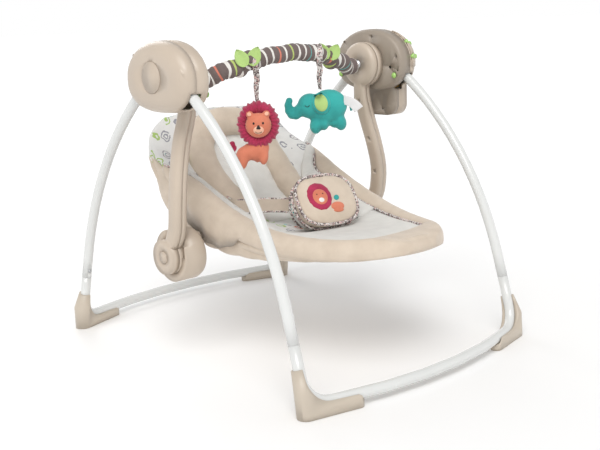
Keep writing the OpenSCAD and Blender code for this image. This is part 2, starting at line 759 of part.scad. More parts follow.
module seat_cover() {
  color("wheat") loft([for (k = [0 : seat_rings]) let (s = k / seat_rings)
    cat([for (i = [-seat_u : seat_u]) seat_top(s, i / seat_u)],
        [for (i = [seat_u : -1 : -seat_u]) seat_base(s, i / seat_u)])], true);
}

// A soft layer that lies on the seat between two stations, its edges rounded down
module seat_layer(s0, s1, half, lift, thick, rings) {
  n = 6;
  loft([for (k = [0 : rings]) let (f = k / rings, s = s0 + (s1 - s0) * f, q = sqrt(max(0.04, 1 - pow(abs(2 * f - 1), 4))))
    cat([for (i = [-n : n]) let (v = i / n) seat_top(s, half * q * v) + seat_normal(s) * (lift + thick * q * (1 - pow(abs(v), 4)) + 0.5)],
        [for (i = [n : -1 : -n]) seat_top(s, half * q * i / n) + seat_normal(s) * lift])], true);
}

module body_insert() {
  color("linen") seat_layer(0.10, 0.44, 0.62, 2.5, 30, 12);
}

module harness() {
  color("wheat") {
    for (s = [-1, 1]) hull() {
      translate([s * 150, 34, 262]) sphere(r = 3, $fn = 12);
      translate([s * 146, -6, 262]) sphere(r = 3, $fn = 12);
      translate([s * 36, -24, 262]) sphere(r = 3, $fn = 12);
      translate([s * 36, -50, 262]) sphere(r = 3, $fn = 12);
    }
    hull() {
      translate([-40, -30, 262]) sphere(r = 5, $fn = 12);
      translate([40, -30, 262]) sphere(r = 5, $fn = 12);
      translate([0, -50, 262]) sphere(r = 5, $fn = 12);
    }
  }
}

module lap_pad() {
  color("bisque") translate([0, -110, 259]) rotate([-32, 0, 0]) hull()
    for (x = [-48, 48]) for (z = [-28, 28]) translate([x, 0, z]) scale([1, 0.95, 1]) sphere(r = 20, $fn = 20);
}

frame_side = [[0, 217, 425], [112, 217, 416], [158, 208, 372], [171, 172, 322], [173, 100, 268], [172, 20, 236],
              [164, -110, 217], [138, -200, 215], [100, -276, 220], [54, -324, 230], [0, -337, 235]];
module seat_frame() {
  n = len(frame_side) - 1;
  loop = cat([for (k = [0 : n]) frame_side[k]], [for (k = [n - 1 : -1 : 1]) flip(frame_side[k])]);
  steps = 60;
  color("silver") {
    round_bar([for (k = [0 : steps]) smooth(cat(loop, [loop[0]]), 0.02 + k * (len(loop) - 0.04) / steps)],
              frame_r, [0, -0.5, 0.87], 12);
    for (s = [-1, 1]) straight([s * 168, hub_y, 240], [s * (hub_in - 11), hub_y, 221], 6);
  }
}

// ---------- toy bar ----------
bar_path = [[disc_in + 4, 0, axis_z], [182, 0, 509], [136, -17, 526], [0, -44, 560], [-136, -17, 526], [-182, 0, 509],
            [-disc_in - 4, 0, axis_z]];
bar_bends = [0, 22, 160, 300, 160, 22, 0];
bar_tube_r = 5;

module toy_bar_tube() {
  color("dimgray") {
    round_bar(path_points(bar_path, bar_bends, 9), bar_tube_r, [0, 1, 0], 12);
    for (s = [0, 1]) mirror([s, 0, 0]) x_cylinder(disc_in - 4, disc_in + 5.9, 9.5, 0, axis_z);
  }
}

sleeve_path = cat([[disc_in - 7, 0, axis_z - 0.4]], cat([for (k = [1 : 5]) bar_path[k]], [[-disc_in + 7, 0, axis_z - 0.4]]));
module toy_bar_sleeve() {
  color("dimgray") pipe(path_points(sleeve_path, bar_bends, 9), sleeve_d / 2, bar_tube_r + 0.3, [0, 1, 0]);
}

lion_at = [-88, -33, 536];       // where the lion's ribbon hangs from the bar
elephant_at = [66, -36, 541];
toy_drop = 74;
module lion_toy() {
  color("crimson") translate(lion_at) rotate([0, 0, -toy_turn]) {
    translate([0, 0, -sleeve_d / 2 - 60]) cube([8, 3, 116], center = true);
    translate([0, 0, -toy_drop - 38]) rotate([90, 0, 0]) difference() {
      cylinder(h = 34, r = mane_d / 2, center = true);
      translate([0, 0, 20]) cylinder(h = 6, r = 12, center = true);
    }
    translate([-30, 4, -toy_drop - 84]) rotate([0, 25, 0]) cube([56, 28, 34], center = true);
  }
}

module elephant_toy() {
  color("turquoise") translate(elephant_at) rotate([0, 0, -toy_turn]) {
    translate([0, 0, -sleeve_d / 2 - 32]) cube([8, 3, 60], center = true);
    translate([14, 0, -toy_drop - 26]) rotate([90, 0, 0]) cylinder(h = 42, r = 38, center = true);
    translate([-44, 0, -toy_drop - 30]) rotate([90, 0, 0]) cylinder(h = 18, r = 20, center = true);
  }
}

// ---------- nodes ----------
module front_left_leg() { color("white") mirror([1, 0, 0]) mirror([0, 1, 0]) upper_leg(); }
module front_right_leg() { color("white") mirror([0, 1, 0]) upper_leg(); }
module rear_left_leg() { color("white") mirror([1, 0, 0]) upper_leg(); }
module rear_right_leg() { color("white") upper_leg(); }
module front_base_tube() { color("white") mirror([0, 1, 0]) base_tube(); }
module rear_base_tube() { color("white") base_tube(); }
module front_feet() { color("tan") pair(1) foot_shoe(); }
module rear_feet() { color("tan") pair(0) foot_shoe(); }
module front_leg_knuckles() { color("dimgray") pair(1) leg_knuckle(); }
module rear_leg_knuckles() { color("dimgray") pair(0) leg_knuckle(); }
module front_left_snap() { color("silver") mirror([1, 0, 0]) mirror([0, 1, 0]) snap_button(); }
module front_right_snap() { color("silver") mirror([0, 1, 0]) snap_button(); }
module rear_left_snap() { color("silver") mirror([1, 0, 0]) snap_button(); }
module rear_right_snap() { color("silver") snap_button(); }
module left_front_release() { color("yellowgreen") release_knob(1, 1); }
module left_rear_release() { color("yellowgreen") release_knob(1, 0); }
module right_front_release() { color("yellowgreen") release_knob(0, 1); }
module right_rear_release() { color("yellowgreen") release_knob(0, 0); }

left_housing_outer();
left_housing_inner();
left_cover_disc();
right_housing_outer();
right_housing_inner();
control_panel();
battery_door();
batteries();
battery_contacts();
circuit_board();
speaker();
drive_motor();
motor_worm();
drive_gear();
gear_axle();
power_button();
timer_button();
melody_button();
volume_button();
shaft_bushes();
leg_pivot_pins();
housing_screws();
left_front_release();
left_rear_release();
right_front_release();
right_rear_release();
front_left_leg();
front_right_leg();
front_base_tube();
front_feet();
front_leg_knuckles();
front_left_snap();
front_right_snap();
rear_left_leg();
rear_right_leg();
rear_base_tube();
rear_feet();
rear_leg_knuckles();
rear_left_snap();
rear_right_snap();
swing_shafts();
drive_lever();
left_arm_outer();
left_arm_inner();
right_arm_outer();
right_arm_inner();
arm_screws();
left_recline_button();
right_recline_button();
left_recline_hub();
right_recline_hub();
seat_frame();
seat_cover();
body_insert();
harness();
lap_pad();
toy_bar_tube();
toy_bar_sleeve();
lion_toy();
elephant_toy();
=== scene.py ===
import json
import math

import bmesh
import bpy
from mathutils import Matrix, Vector
from mathutils.bvhtree import BVHTree


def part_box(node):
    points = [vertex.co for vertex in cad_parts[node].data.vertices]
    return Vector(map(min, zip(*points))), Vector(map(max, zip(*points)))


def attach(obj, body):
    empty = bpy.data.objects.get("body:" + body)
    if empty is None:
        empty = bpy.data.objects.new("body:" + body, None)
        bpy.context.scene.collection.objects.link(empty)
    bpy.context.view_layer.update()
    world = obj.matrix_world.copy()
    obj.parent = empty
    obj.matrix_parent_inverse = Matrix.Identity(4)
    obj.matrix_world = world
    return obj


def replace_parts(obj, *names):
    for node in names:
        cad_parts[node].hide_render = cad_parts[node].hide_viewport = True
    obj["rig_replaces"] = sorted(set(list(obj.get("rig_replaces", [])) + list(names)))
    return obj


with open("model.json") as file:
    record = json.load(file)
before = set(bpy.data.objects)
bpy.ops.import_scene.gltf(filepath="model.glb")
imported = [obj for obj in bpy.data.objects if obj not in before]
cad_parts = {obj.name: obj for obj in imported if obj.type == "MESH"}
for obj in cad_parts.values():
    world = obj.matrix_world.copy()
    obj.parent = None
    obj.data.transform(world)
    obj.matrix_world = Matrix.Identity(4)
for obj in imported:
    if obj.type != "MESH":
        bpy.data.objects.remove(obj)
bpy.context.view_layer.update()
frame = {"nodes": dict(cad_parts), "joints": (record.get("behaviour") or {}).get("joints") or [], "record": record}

NODES = frame["nodes"]
TAU = 2 * math.pi


# ---------- meshes ----------
def add_mesh(name, verts, faces, material, body=None):
    """A new object from points and faces, riding on a body."""
    mesh = bpy.data.meshes.new(name)
    mesh.from_pydata([tuple(v) for v in verts], [], faces)
    mesh.update()
    mesh.shade_smooth()
    obj = bpy.data.objects.new(name, mesh)
    bpy.context.scene.collection.objects.link(obj)
    mesh.materials.append(material)
    if body:
        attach(obj, body)
    return obj


def tag_points(obj, name, values):
    """Stores one number per point, for a material to read."""
    layer = obj.data.attributes.new(name, "FLOAT", "POINT")
    layer.data.foreach_set("value", values)


def join_rows(rows, ring=True, capped=True):
    """Points and faces of a skin through rows of points. ring closes each row on itself."""
    n = len(rows[0])
    verts = [p for row in rows for p in row]
    faces = []
    for i in range(len(rows) - 1):
        for j in range(n if ring else n - 1):
            k = (j + 1) % n
            faces.append((i * n + j, i * n + k, (i + 1) * n + k, (i + 1) * n + j))
    if ring and capped:
        last = (len(rows) - 1) * n
        for base, turn in ((0, -1), (last, 1)):
            middle = sum((Vector(verts[base + j]) for j in range(n)), Vector()) / n
            verts.append(middle)
            for j in range(n):
                a, b = base + j, base + (j + 1) % n
                faces.append((a, b, len(verts) - 1) if turn > 0 else (b, a, len(verts) - 1))
    return verts, faces


def smooth_line(knots, steps):
    """Points evenly spread along a smooth curve through the knots."""
    knots = [Vector(k) for k in knots]
    at = lambda i: knots[max(0, min(len(knots) - 1, i))]
    raw = []
    for i in range(len(knots) - 1):
        a, b, c, d = at(i - 1), at(i), at(i + 1), at(i + 2)
        for k in range(12):
            f = k / 12
            raw.append(0.5 * (2 * b + (c - a) * f + (2 * a - 5 * b + 4 * c - d) * f * f
                              + (3 * b - a - 3 * c + d) * f**3))
    raw.append(knots[-1])
    runs = [0.0]
    for p, q in zip(raw, raw[1:]):
        runs.append(runs[-1] + (q - p).length)
    out, j = [], 0
    for i in range(steps + 1):
        want = runs[-1] * i / steps
        while j < len(raw) - 2 and runs[j + 1] < want:
            j += 1
        f = (want - runs[j]) / max(1e-9, runs[j + 1] - runs[j])
        out.append(raw[j].lerp(raw[j + 1], f))
    return out


def sweep(name, line, section, material, body, side=None, capped=True):
    """A solid along a line. section(t, run, angle) gives (across, up) in metres; t goes from 0 to 1.
    across lies along side, a direction or a function of t, or is carried along the line."""
    n = section.points
    rows, runs, turns, run = [], [], [], 0.0
    carried = None
    for i, p in enumerate(line):
        t = i / (len(line) - 1)
        ahead = (line[min(i + 1, len(line) - 1)] - line[max(i - 1, 0)]).normalized()
        if i:
            run += (p - line[i - 1]).length
        if side is not None:
            want = side(t) if callable(side) else Vector(side)
        else:
            want = carried or ahead.orthogonal()
        across = (want - ahead * want.dot(ahead)).normalized()
        carried = across
        up = across.cross(ahead)
        row = []
        for j in range(n):
            a, b = section(t, run, j / n)
            row.append(p + across * a + up * b)
            runs.append(run)
            turns.append(j / n)
        rows.append(row)
    verts, faces = join_rows(rows, capped=capped)
    obj = add_mesh(name, verts, faces, material, body)
    spare = len(verts) - len(runs)
    tag_points(obj, "run", runs + [0.0, run][:spare])
    tag_points(obj, "turn", turns + [0.0] * spare)
    return obj


def section_of(points, rule):
    """Marks a section function with its number of points."""
    rule.points = points
    return rule


def round_section(radius, points=16):
    """A round cord or tube, its radius a number or a function of (t, run, angle)."""
    size = radius if callable(radius) else (lambda t, run, turn: radius)

    def rule(t, run, turn):
        r = size(t, run, turn)
        return r * math.cos(TAU * turn), r * math.sin(TAU * turn)

    return section_of(points, rule)


def strap_section(width, thick, points=20, puff=0.0):
    """A flat strap, rounded at its edges and crowned by puff."""
    wide = width if callable(width) else (lambda t: width)

    def rule(t, run, turn):
        c, s = math.cos(TAU * turn), math.sin(TAU * turn)
        a = wide(t) / 2 * math.copysign(abs(c) ** 0.35, c)
        b = (thick / 2 + puff * (1 - abs(c) ** 4)) * math.copysign(abs(s) ** 0.5, s)
        return a, b

    return section_of(points, rule)


def modify(obj, kind, **settings):
    mod = obj.modifiers.new(kind, kind)
    for key, value in settings.items():
        setattr(mod, key, value)
    return mod


def bake_modifiers(obj):
    """Applies an object's modifiers to its mesh."""
    bpy.context.view_layer.update()
    ready = obj.evaluated_get(bpy.context.evaluated_depsgraph_get())
    mesh = bpy.data.meshes.new_from_object(ready)
    mesh.name = obj.name
    obj.modifiers.clear()
    obj.data = mesh
    mesh.shade_smooth()


def inflate(obj, cap, pressure=4.0, frames=20):
    """Puffs a closed mesh with Blender's cloth, keeps each point within cap of its start, and applies it."""
    start = [v.co.copy() for v in obj.data.vertices]
    cloth = modify(obj, "CLOTH")
    cloth.settings.use_pressure = True
    cloth.settings.uniform_pressure_force = pressure
    cloth.settings.effector_weights.gravity = 0
    cloth.settings.quality = 4
    cloth.point_cache.frame_start = 1
    cloth.point_cache.frame_end = frames
    scene = bpy.context.scene
    for number in range(1, frames + 1):
        scene.frame_set(number)
    bake_modifiers(obj)
    scene.frame_set(1)
    for v, rest in zip(obj.data.vertices, start):
        move = v.co - rest
        if move.length > cap:
            v.co = rest + move * (cap / move.length)


# ---------- materials ----------
class Graph:
    """One material, with short names for adding its nodes."""

    def __init__(self, name, colour, rough, **inputs):
        self.mat = bpy.data.materials.new(name)
        self.mat.use_nodes = True
        self.tree = self.mat.node_tree
        self.bsdf = self.tree.nodes["Principled BSDF"]
        self.place = self.add("TexCoord").outputs["Object"]
        self.feed(self.bsdf, "Base Color", colour)
        self.feed(self.bsdf, "Roughness", rough)
        for key, value in inputs.items():
            self.feed(self.bsdf, key.replace("_", " "), value)

    def feed(self, node, socket, value):
        if isinstance(value, bpy.types.NodeSocket):
            self.tree.links.new(value, node.inputs[socket])
        elif isinstance(value, tuple) and len(value) == 3 and node.inputs[socket].type == "RGBA":
            node.inputs[socket].default_value = (*value, 1)
        else:
            node.inputs[socket].default_value = value

    def add(self, kind, settings=None, **inputs):
        node = self.tree.nodes.new("ShaderNode" + kind)
        for key, value in (settings or {}).items():
            setattr(node, key, value)
        for key, value in inputs.items():
            self.feed(node, key, value)
        return node

    def noise(self, scale, detail=2.0, place=None):
        return self.add("TexNoise", Vector=place or self.place, Scale=scale, Detail=detail).outputs["Fac"]

    def maths(self, operation, *values):
        node = self.add("Math", {"operation": operation})
        for i, value in enumerate(values):
            self.feed(node, i, value)
        return node.outputs[0]

    def mix(self, amount, a, b):
        node = self.add("Mix", {"data_type": "RGBA"})
        for socket, value in ((0, amount), (6, a), (7, b)):
            self.feed(node, socket, value)
        return node.outputs[2]

    def ramp(self, value, stops, sharp=False):
        node = self.add("ValToRGB", Fac=value)
        ramp = node.color_ramp
        ramp.interpolation = "CONSTANT" if sharp else "LINEAR"
        while len(ramp.elements) < len(stops):
            ramp.elements.new(0.5)
        for element, (at, colour) in zip(ramp.elements, stops):
            element.position = at
            element.color = (*colour, 1) if isinstance(colour, tuple) else (colour, colour, colour, 1)
        return node.outputs["Color"]

    def bump(self, height, depth, strength=1.0):
        """Adds relief of that depth in metres on top of any before it."""
        node = self.add("Bump", Strength=strength, Distance=depth, Height=height)
        before = self.bsdf.inputs["Normal"].links
        if before:
            self.feed(node, "Normal", before[0].from_socket)
        self.feed(self.bsdf, "Normal", node.outputs["Normal"])


def plastic(name, colour, rough=0.36, coat=0.15):
    """Moulded plastic: faint mottling, fine spark-eroded texture and soft handling marks."""
    g = Graph(name, colour, rough, Coat_Weight=coat, Coat_Roughness=0.25)
    shade = tuple(c * 0.9 for c in colour)
    g.feed(g.bsdf, "Base Color", g.mix(g.ramp(g.noise(9), [(0.35, 0.0), (0.7, 1.0)]), colour, shade))
    g.feed(g.bsdf, "Roughness", g.maths("ADD", rough - 0.06, g.maths("MULTIPLY", g.noise(45, 4), 0.14)))
    g.bump(g.noise(1600), 0.00012, 0.5)
    g.bump(g.noise(30), 0.0006, 0.25)
    return g.mat


def metal(name, colour, rough=0.3):
    """Machined metal: stretched fine grain and a varying polish."""
    g = Graph(name, colour, rough, Metallic=1.0)
    grain = g.add("Mapping", Vector=g.place, Scale=(40, 900, 900)).outputs[0]
    g.feed(g.bsdf, "Roughness", g.maths("ADD", rough - 0.08, g.maths("MULTIPLY", g.noise(2, 3, grain), 0.2)))
    g.feed(g.bsdf, "Base Color", g.mix(g.noise(60), colour, tuple(c * 0.8 for c in colour)))
    g.bump(g.noise(3, 2, grain), 0.00005, 0.4)
    return g.mat


def enamel(name, colour):
    """Glossy powder coat with a little orange peel."""
    g = Graph(name, colour, 0.22, Coat_Weight=0.6, Coat_Roughness=0.08)
    g.feed(g.bsdf, "Base Color", g.mix(g.noise(14), colour, tuple(c * 0.95 for c in colour)))
    g.feed(g.bsdf, "Roughness", g.maths("ADD", 0.16, g.maths("MULTIPLY", g.noise(70, 3), 0.16)))
    g.bump(g.noise(420), 0.00012, 0.35)
    return g.mat


def cloth_graph(name, colour, shade, nap=1.0, thread=1500, fold=0.0025):
    """Fabric: brushed mottling, thread or pile relief and soft rumples."""
    g = Graph(name, colour, 0.92, Sheen_Weight=0.35 * nap, Sheen_Roughness=0.45)
    brushed = g.ramp(g.noise(38, 5), [(0.36, 0.0), (0.66, 1.0)])
    fine = g.ramp(g.noise(thread, 2), [(0.3, 0.0), (0.75, 1.0)])
    tone = g.mix(g.maths("MULTIPLY", brushed, 0.6), colour, shade)
    g.tone = g.mix(g.maths("MULTIPLY", fine, 0.35), tone, shade)
    g.feed(g.bsdf, "Base Color", g.tone)
    g.bump(g.noise(thread, 2), 0.0005, 0.5)
    g.bump(g.noise(26, 3), fold, 0.35)
    return g


def woven(name, colour, shade, pitch=0.0016):
    """Woven webbing: crossed ribs, set closer by a smaller pitch."""
    g = cloth_graph(name, colour, shade, 0.5)
    ribs = [g.add("TexWave", {"wave_type": "BANDS", "bands_direction": way}, Vector=g.place,
                  Scale=0.31 / pitch).outputs["Fac"] for way in ("X", "Z")]
    g.bump(g.maths("MULTIPLY", *ribs), 0.0004, 0.7)
    return g.mat


def printed(name, base, shade):
    """White jersey with a small all-over print: outlined blobs and scattered coloured dots."""
    g = cloth_graph(name, base, shade, 0.3, 1900, 0.002)
    wobble = g.add("VectorMath", {"operation": "SCALE"}, Vector=g.add(
        "TexNoise", Vector=g.place, Scale=70.0).outputs["Color"])
    g.feed(wobble, "Scale", 0.012)
    bent = g.add("VectorMath", {"operation": "ADD"})
    g.feed(bent, 0, g.place)
    g.feed(bent, 1, wobble.outputs[0])
    flat = g.add("Mapping", Vector=bent.outputs[0], Scale=(1, 0.7, 0.7)).outputs[0]
    blob = g.add("TexVoronoi", Vector=flat, Scale=37.0, Randomness=0.55)
    pick = g.add("SeparateColor", Color=blob.outputs["Color"]).outputs[0]
    ink = g.ramp(pick, [(0.0, (0.30, 0.30, 0.33)), (0.56, (0.72, 0.24, 0.15)), (0.70, (0.33, 0.31, 0.33)),
                        (0.86, (0.36, 0.50, 0.16))], True)
    rings = [(0.0, 0.0), (0.13, 1.0), (0.20, 0.0), (0.29, 1.0), (0.37, 0.0)]
    line = g.ramp(blob.outputs["Distance"], rings, True)
    dash = g.ramp(g.noise(75, 1), [(0.0, 0.0), (0.31, 1.0)], True)
    drawn = g.mix(g.maths("MULTIPLY", line, dash), g.tone, ink)
    spot = g.add("TexVoronoi", Vector=bent.outputs[0], Scale=38.0, Randomness=0.9)
    inside = g.ramp(spot.outputs["Distance"], [(0.0, 1.0), (0.25, 0.0)], True)
    some = g.add("SeparateColor", Color=spot.outputs["Color"]).outputs[0]
    hue = g.ramp(some, [(0.0, (0.16, 0.55, 0.52)), (0.17, (0.75, 0.28, 0.20)),
                        (0.24, (0.45, 0.60, 0.18))], True)
    few = g.ramp(some, [(0.0, 1.0), (0.36, 0.0)], True)
    g.feed(g.bsdf, "Base Color", g.mix(g.maths("MULTIPLY", inside, few), drawn, hue))
    return g.mat


def speckled(name, scale=420):
    """Mixed knit of dark brown, white and dusty pink flecks."""
    g = cloth_graph(name, (0.3, 0.25, 0.24), (0.1, 0.08, 0.08), 0.3)
    cell = g.add("TexVoronoi", Vector=g.place, Scale=scale).outputs["Color"]
    pick = g.add("SeparateColor", Color=cell).outputs[0]
    flecks = [(0.0, (0.12, 0.09, 0.09)), (0.34, (0.66, 0.63, 0.60)), (0.70, (0.34, 0.27, 0.26)),
              (0.86, (0.60, 0.40, 0.38))]
    g.feed(g.bsdf, "Base Color", g.ramp(pick, flecks, True))
    return g.mat


def dotted(name, base, dot, scale=150):
    g = cloth_graph(name, base, tuple(c * 0.88 for c in base), 0.3)
    spot = g.add("TexVoronoi", Vector=g.place, Scale=scale, Randomness=0.35).outputs["Distance"]
    g.feed(g.bsdf, "Base Color", g.mix(g.ramp(spot, [(0.0, 1.0), (0.24, 0.0)], True), g.tone, dot))
    return g.mat


def striped(name, pitch):
    """Striped sleeve, read from each point's run along the bar."""
    g = cloth_graph(name, (0.2, 0.15, 0.15), (0.1, 0.08, 0.08), 0.4)
    run = g.add("Attribute", {"attribute_name": "run"}).outputs["Fac"]
    bend = g.maths("MULTIPLY", g.maths("SUBTRACT", g.noise(55, 2), 0.5), 0.0035)
    beat = g.maths("FRACT", g.maths("DIVIDE", g.maths("ADD", run, bend), pitch))
    dark, white = (0.150, 0.115, 0.108), (0.74, 0.72, 0.68)
    coral, teal, lime = (0.62, 0.20, 0.14), (0.12, 0.42, 0.40), (0.45, 0.55, 0.16)
    edges = []
    for i, colour in enumerate((white, white, coral, white, lime, white, white, teal, white)):
        edges += [(i / 9, dark), (i / 9 + 0.084, colour)]
    g.feed(g.bsdf, "Base Color", g.ramp(beat, edges, True))
    g.bump(g.noise(160, 2), 0.0012, 0.5)
    return g.mat


TAN = (0.53, 0.445, 0.36)
M = {
    "housing": plastic("housing_beige", TAN),
    # The same beige plastic darkened: painted shade for the far pod's inner face, which faces away from the light
    "housing_painted_shade": plastic("housing_beige_painted_shade", tuple(c * 0.62 for c in TAN), 0.42),
    "feet": plastic("feet_beige", (0.55, 0.48, 0.395), 0.4),
    "dark": plastic("dark_nylon", (0.035, 0.035, 0.038), 0.5),
    "green": plastic("lime_buttons", (0.36, 0.62, 0.16), 0.24, 0.5),
    "ivory": plastic("ivory_acetal", (0.75, 0.72, 0.62), 0.4),
    "board": plastic("circuit_board_green", (0.03, 0.2, 0.07), 0.35),
    "cell": plastic("cell_jacket", (0.35, 0.2, 0.05), 0.3),
    "tube": enamel("white_enamel", (0.69, 0.70, 0.69)),
    "steel": metal("zinc_steel", (0.6, 0.61, 0.63)),
    "brass": metal("brass", (0.7, 0.52, 0.22)),
    "velour": cloth_graph("beige_velour", (0.64, 0.545, 0.445), (0.53, 0.44, 0.35)).mat,
    # A darker beige, worn by the downward-facing middle of the seat's underside
    "velour_underside": cloth_graph("beige_underside", (0.52, 0.44, 0.36), (0.44, 0.37, 0.30)).mat,
    "pale": cloth_graph("pale_jersey", (0.70, 0.69, 0.66), (0.60, 0.59, 0.565), 0.3).mat,
    "white": cloth_graph("white_plush", (0.80, 0.79, 0.76), (0.70, 0.69, 0.66), 0.8, 900).mat,
    "print": printed("printed_jersey", (0.76, 0.755, 0.74), (0.66, 0.655, 0.64)),
    "speckle": speckled("speckled_binding"),
    "dots": dotted("teal_dots", (0.78, 0.78, 0.75), (0.12, 0.42, 0.40)),
    "webbing": woven("beige_webbing", (0.60, 0.51, 0.42), (0.44, 0.37, 0.30)),
    "stripes": striped("striped_sleeve", 0.135),
    "lime": cloth_graph("lime_felt", (0.44, 0.62, 0.22), (0.36, 0.52, 0.16), 0.5, 1100, 0.001).mat,
    "mane": cloth_graph("magenta_plush", (0.46, 0.030, 0.095), (0.24, 0.010, 0.040), 1.0, 420, 0.004).mat,
    "orange": cloth_graph("orange_plush", (0.68, 0.225, 0.135), (0.52, 0.145, 0.08), 1.0, 900, 0.001).mat,
    "peach": cloth_graph("peach_plush", (0.86, 0.50, 0.36), (0.76, 0.40, 0.27), 1.0, 900, 0.001).mat,
    "teal": cloth_graph("teal_plush", (0.035, 0.40, 0.37), (0.02, 0.27, 0.26), 1.0, 900, 0.0015).mat,
    "thread": cloth_graph("dark_thread", (0.03, 0.022, 0.022), (0.02, 0.015, 0.015), 0.1).mat,
    "tag": cloth_graph("white_tag", (0.86, 0.86, 0.87), (0.80, 0.80, 0.81), 0.1, 2600, 0.0004).mat,
}

FINISH = {
    "housing_plastic": "housing", "dark_plastic": "dark", "white_tube": "tube", "steel": "steel",
    "green_plastic": "green", "brass_gear": "brass", "ivory_plastic": "ivory", "board": "board",
    "cell_jacket": "cell", "beige_fabric": "velour", "print_fabric": "print", "webbing": "webbing",
    "sleeve_fabric": "stripes", "lion_plush": "mane", "elephant_plush": "teal",
}
SLOT_OF = {part["node"]: part["material_slot"] for part in frame["record"]["subparts"]}
for node_name, obj in NODES.items():
    finish = FINISH[SLOT_OF[node_name]]
    if node_name.endswith("_feet"):
        finish = "feet"
    # The far pod's inner face takes the darkened beige, which is painted shade
    elif node_name == "right_housing_inner":
        finish = "housing_painted_shade"
    obj.data.materials.clear()
    obj.data.materials.append(M[finish])
    modify(obj, "WELD", merge_threshold=1e-5)
    obj.data.shade_smooth()
    obj.data.set_sharp_from_angle(angle=math.radians(32))

# ---------- the seat's own surface ----------
SEAT = NODES["seat_cover"]
seat_low, seat_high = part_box("seat_cover")
_bm = bmesh.new()
_bm.from_mesh(SEAT.data)
SEAT_TREE = BVHTree.FromBMesh(_bm)
_bm.free()
# Rays fan out from a line above the lap, from the head of the seat (s = 0) to its foot (s = 1)
FAN = Vector((0, -0.10, 0.52))


def fan_hit(s, x):
    """Where the fan's ray at s, x metres from the middle, meets the seat."""
    head = math.atan2(seat_high.z - FAN.z - 0.012, seat_high.y - FAN.y)
    foot = math.atan2(seat_low.z + 0.045 - FAN.z, seat_low.y - FAN.y)
    angle = head + (foot - head) * s
    way = Vector((0, math.cos(angle), math.sin(angle)))
    return SEAT_TREE.ray_cast(FAN + Vector((x, 0, 0)), way)


def half_width(s):
    """How far from the middle the seat still lies under the fan, found by halving."""
    inside, outside = 0.0, 0.2
    for _ in range(12):
        middle = (inside + outside) / 2
        if fan_hit(s, middle)[0] is None:
            outside = middle
        else:
            inside = middle
    return inside


STATIONS = 60
WIDTHS = [half_width(k / STATIONS) for k in range(STATIONS + 1)]


def width_at(s):
    f = max(0.0, min(STATIONS - 0.001, s * STATIONS))
    return WIDTHS[int(f)] * (1 - f % 1) + WIDTHS[int(f) + 1] * (f % 1)


def on_seat(s, u, lift=0.0):
    """A point on top of the seat, lift metres off it: s from head to foot, u from -1 to 1 across."""
    point, normal, _, _ = fan_hit(s, u * width_at(s) * 0.999)
    if point is None:
        point, normal, _, _ = SEAT_TREE.find_nearest(FAN + Vector((u * width_at(s) * 0.99, 0, -0.2)))
    return point + normal * lift


# ---------- camera, light and floor ----------
def place_camera():
    """The view of the stand that its feet and joints were fitted to."""
    azimuth, elevation, roll = (math.radians(a) for a in (-41.797, 12.212, -2.062))
    distance, target = 1.8836, Vector((0, -0.0384, 0.2210))
    back = Vector((math.sin(azimuth) * math.cos(elevation), -math.cos(azimuth) * math.cos(elevation),
                   math.sin(elevation)))
    flat = Vector((math.cos(azimuth), math.sin(azimuth), 0))
    up = back.cross(flat)
    right = flat * math.cos(roll) + up * math.sin(roll)
    up = back.cross(right)
    data = bpy.data.cameras.new("camera")
    data.sensor_width, data.lens = 36, 58.8
    camera = bpy.data.objects.new("camera", data)
    bpy.context.scene.collection.objects.link(camera)
    turn = Matrix((right, up, back)).transposed().to_4x4()
    camera.matrix_world = Matrix.Translation(target + back * distance) @ turn
    bpy.context.scene.camera = camera


def add_light(name, place, aim, size, power, tint=(1, 1, 1)):
    data = bpy.data.lights.new(name, "AREA")
    data.shape, data.size, data.energy, data.color = "DISK", size, power, tint
    light = bpy.data.objects.new(name, data)
    light.location = place
    light.rotation_euler = (Vector(aim) - Vector(place)).to_track_quat("-Z", "Y").to_euler()
    bpy.context.scene.collection.objects.link(light)


HORIZON, OVERHEAD = 1.0, 0.56      # brightness of the studio round the sides and above


def light_studio():
    scene = bpy.context.scene
    scene.view_settings.view_transform = "Standard"
    scene.world = scene.world or bpy.data.worlds.new("studio")
    scene.world.use_nodes = True
    tree = scene.world.node_tree
    height = tree.nodes.new("ShaderNodeSeparateXYZ")
    ramp = tree.nodes.new("ShaderNodeValToRGB")
    tree.links.new(tree.nodes.new("ShaderNodeTexCoord").outputs["Generated"], height.inputs[0])
    tree.links.new(height.outputs["Z"], ramp.inputs["Fac"])
    tree.links.new(ramp.outputs["Color"], tree.nodes["Background"].inputs["Color"])
    for element, (at, level) in zip(ramp.color_ramp.elements, ((0.12, HORIZON), (0.6, OVERHEAD))):
        element.position = at
        element.color = (level, level, level, 1)
    sun = bpy.data.lights.new("sun", "SUN")
    sun.energy, sun.angle, sun.color = 1.35, math.radians(40), (1, 0.99, 0.975)
    lamp = bpy.data.objects.new("sun", sun)
    lamp.rotation_euler = Vector((0.55, 0.45, -0.95)).to_track_quat("-Z", "Y").to_euler()
    scene.collection.objects.link(lamp)
    add_light("key", (-1.5, -1.7, 2.2), (0, 0, 0.3), 1.0, 14, (1, 0.985, 0.965))
    add_light("rim", (0.6, 2.4, 1.8), (0, 0, 0.3), 1.4, 12)
    g = Graph("floor_white", (0.93, 0.93, 0.93), 0.6)
    away = g.add("VectorMath", {"operation": "LENGTH"}, Vector=g.place).outputs["Value"]
    glow = g.ramp(g.maths("DIVIDE", away, 4.0), [(0.13, 0.0), (0.40, 1.0)])
    g.feed(g.bsdf, "Base Color", g.mix(glow, (0.93, 0.93, 0.93), (0, 0, 0)))
    g.feed(g.bsdf, "Emission Color", (1, 1, 1))
    g.feed(g.bsdf, "Emission Strength", glow)
    reach = 40
    floor = add_mesh("floor", [(-reach, -reach, -0.0006), (reach, -reach, -0.0006), (reach, reach, -0.0006),
                               (-reach, reach, -0.0006)], [(0, 1, 2, 3)], g.mat)


place_camera()
light_studio()


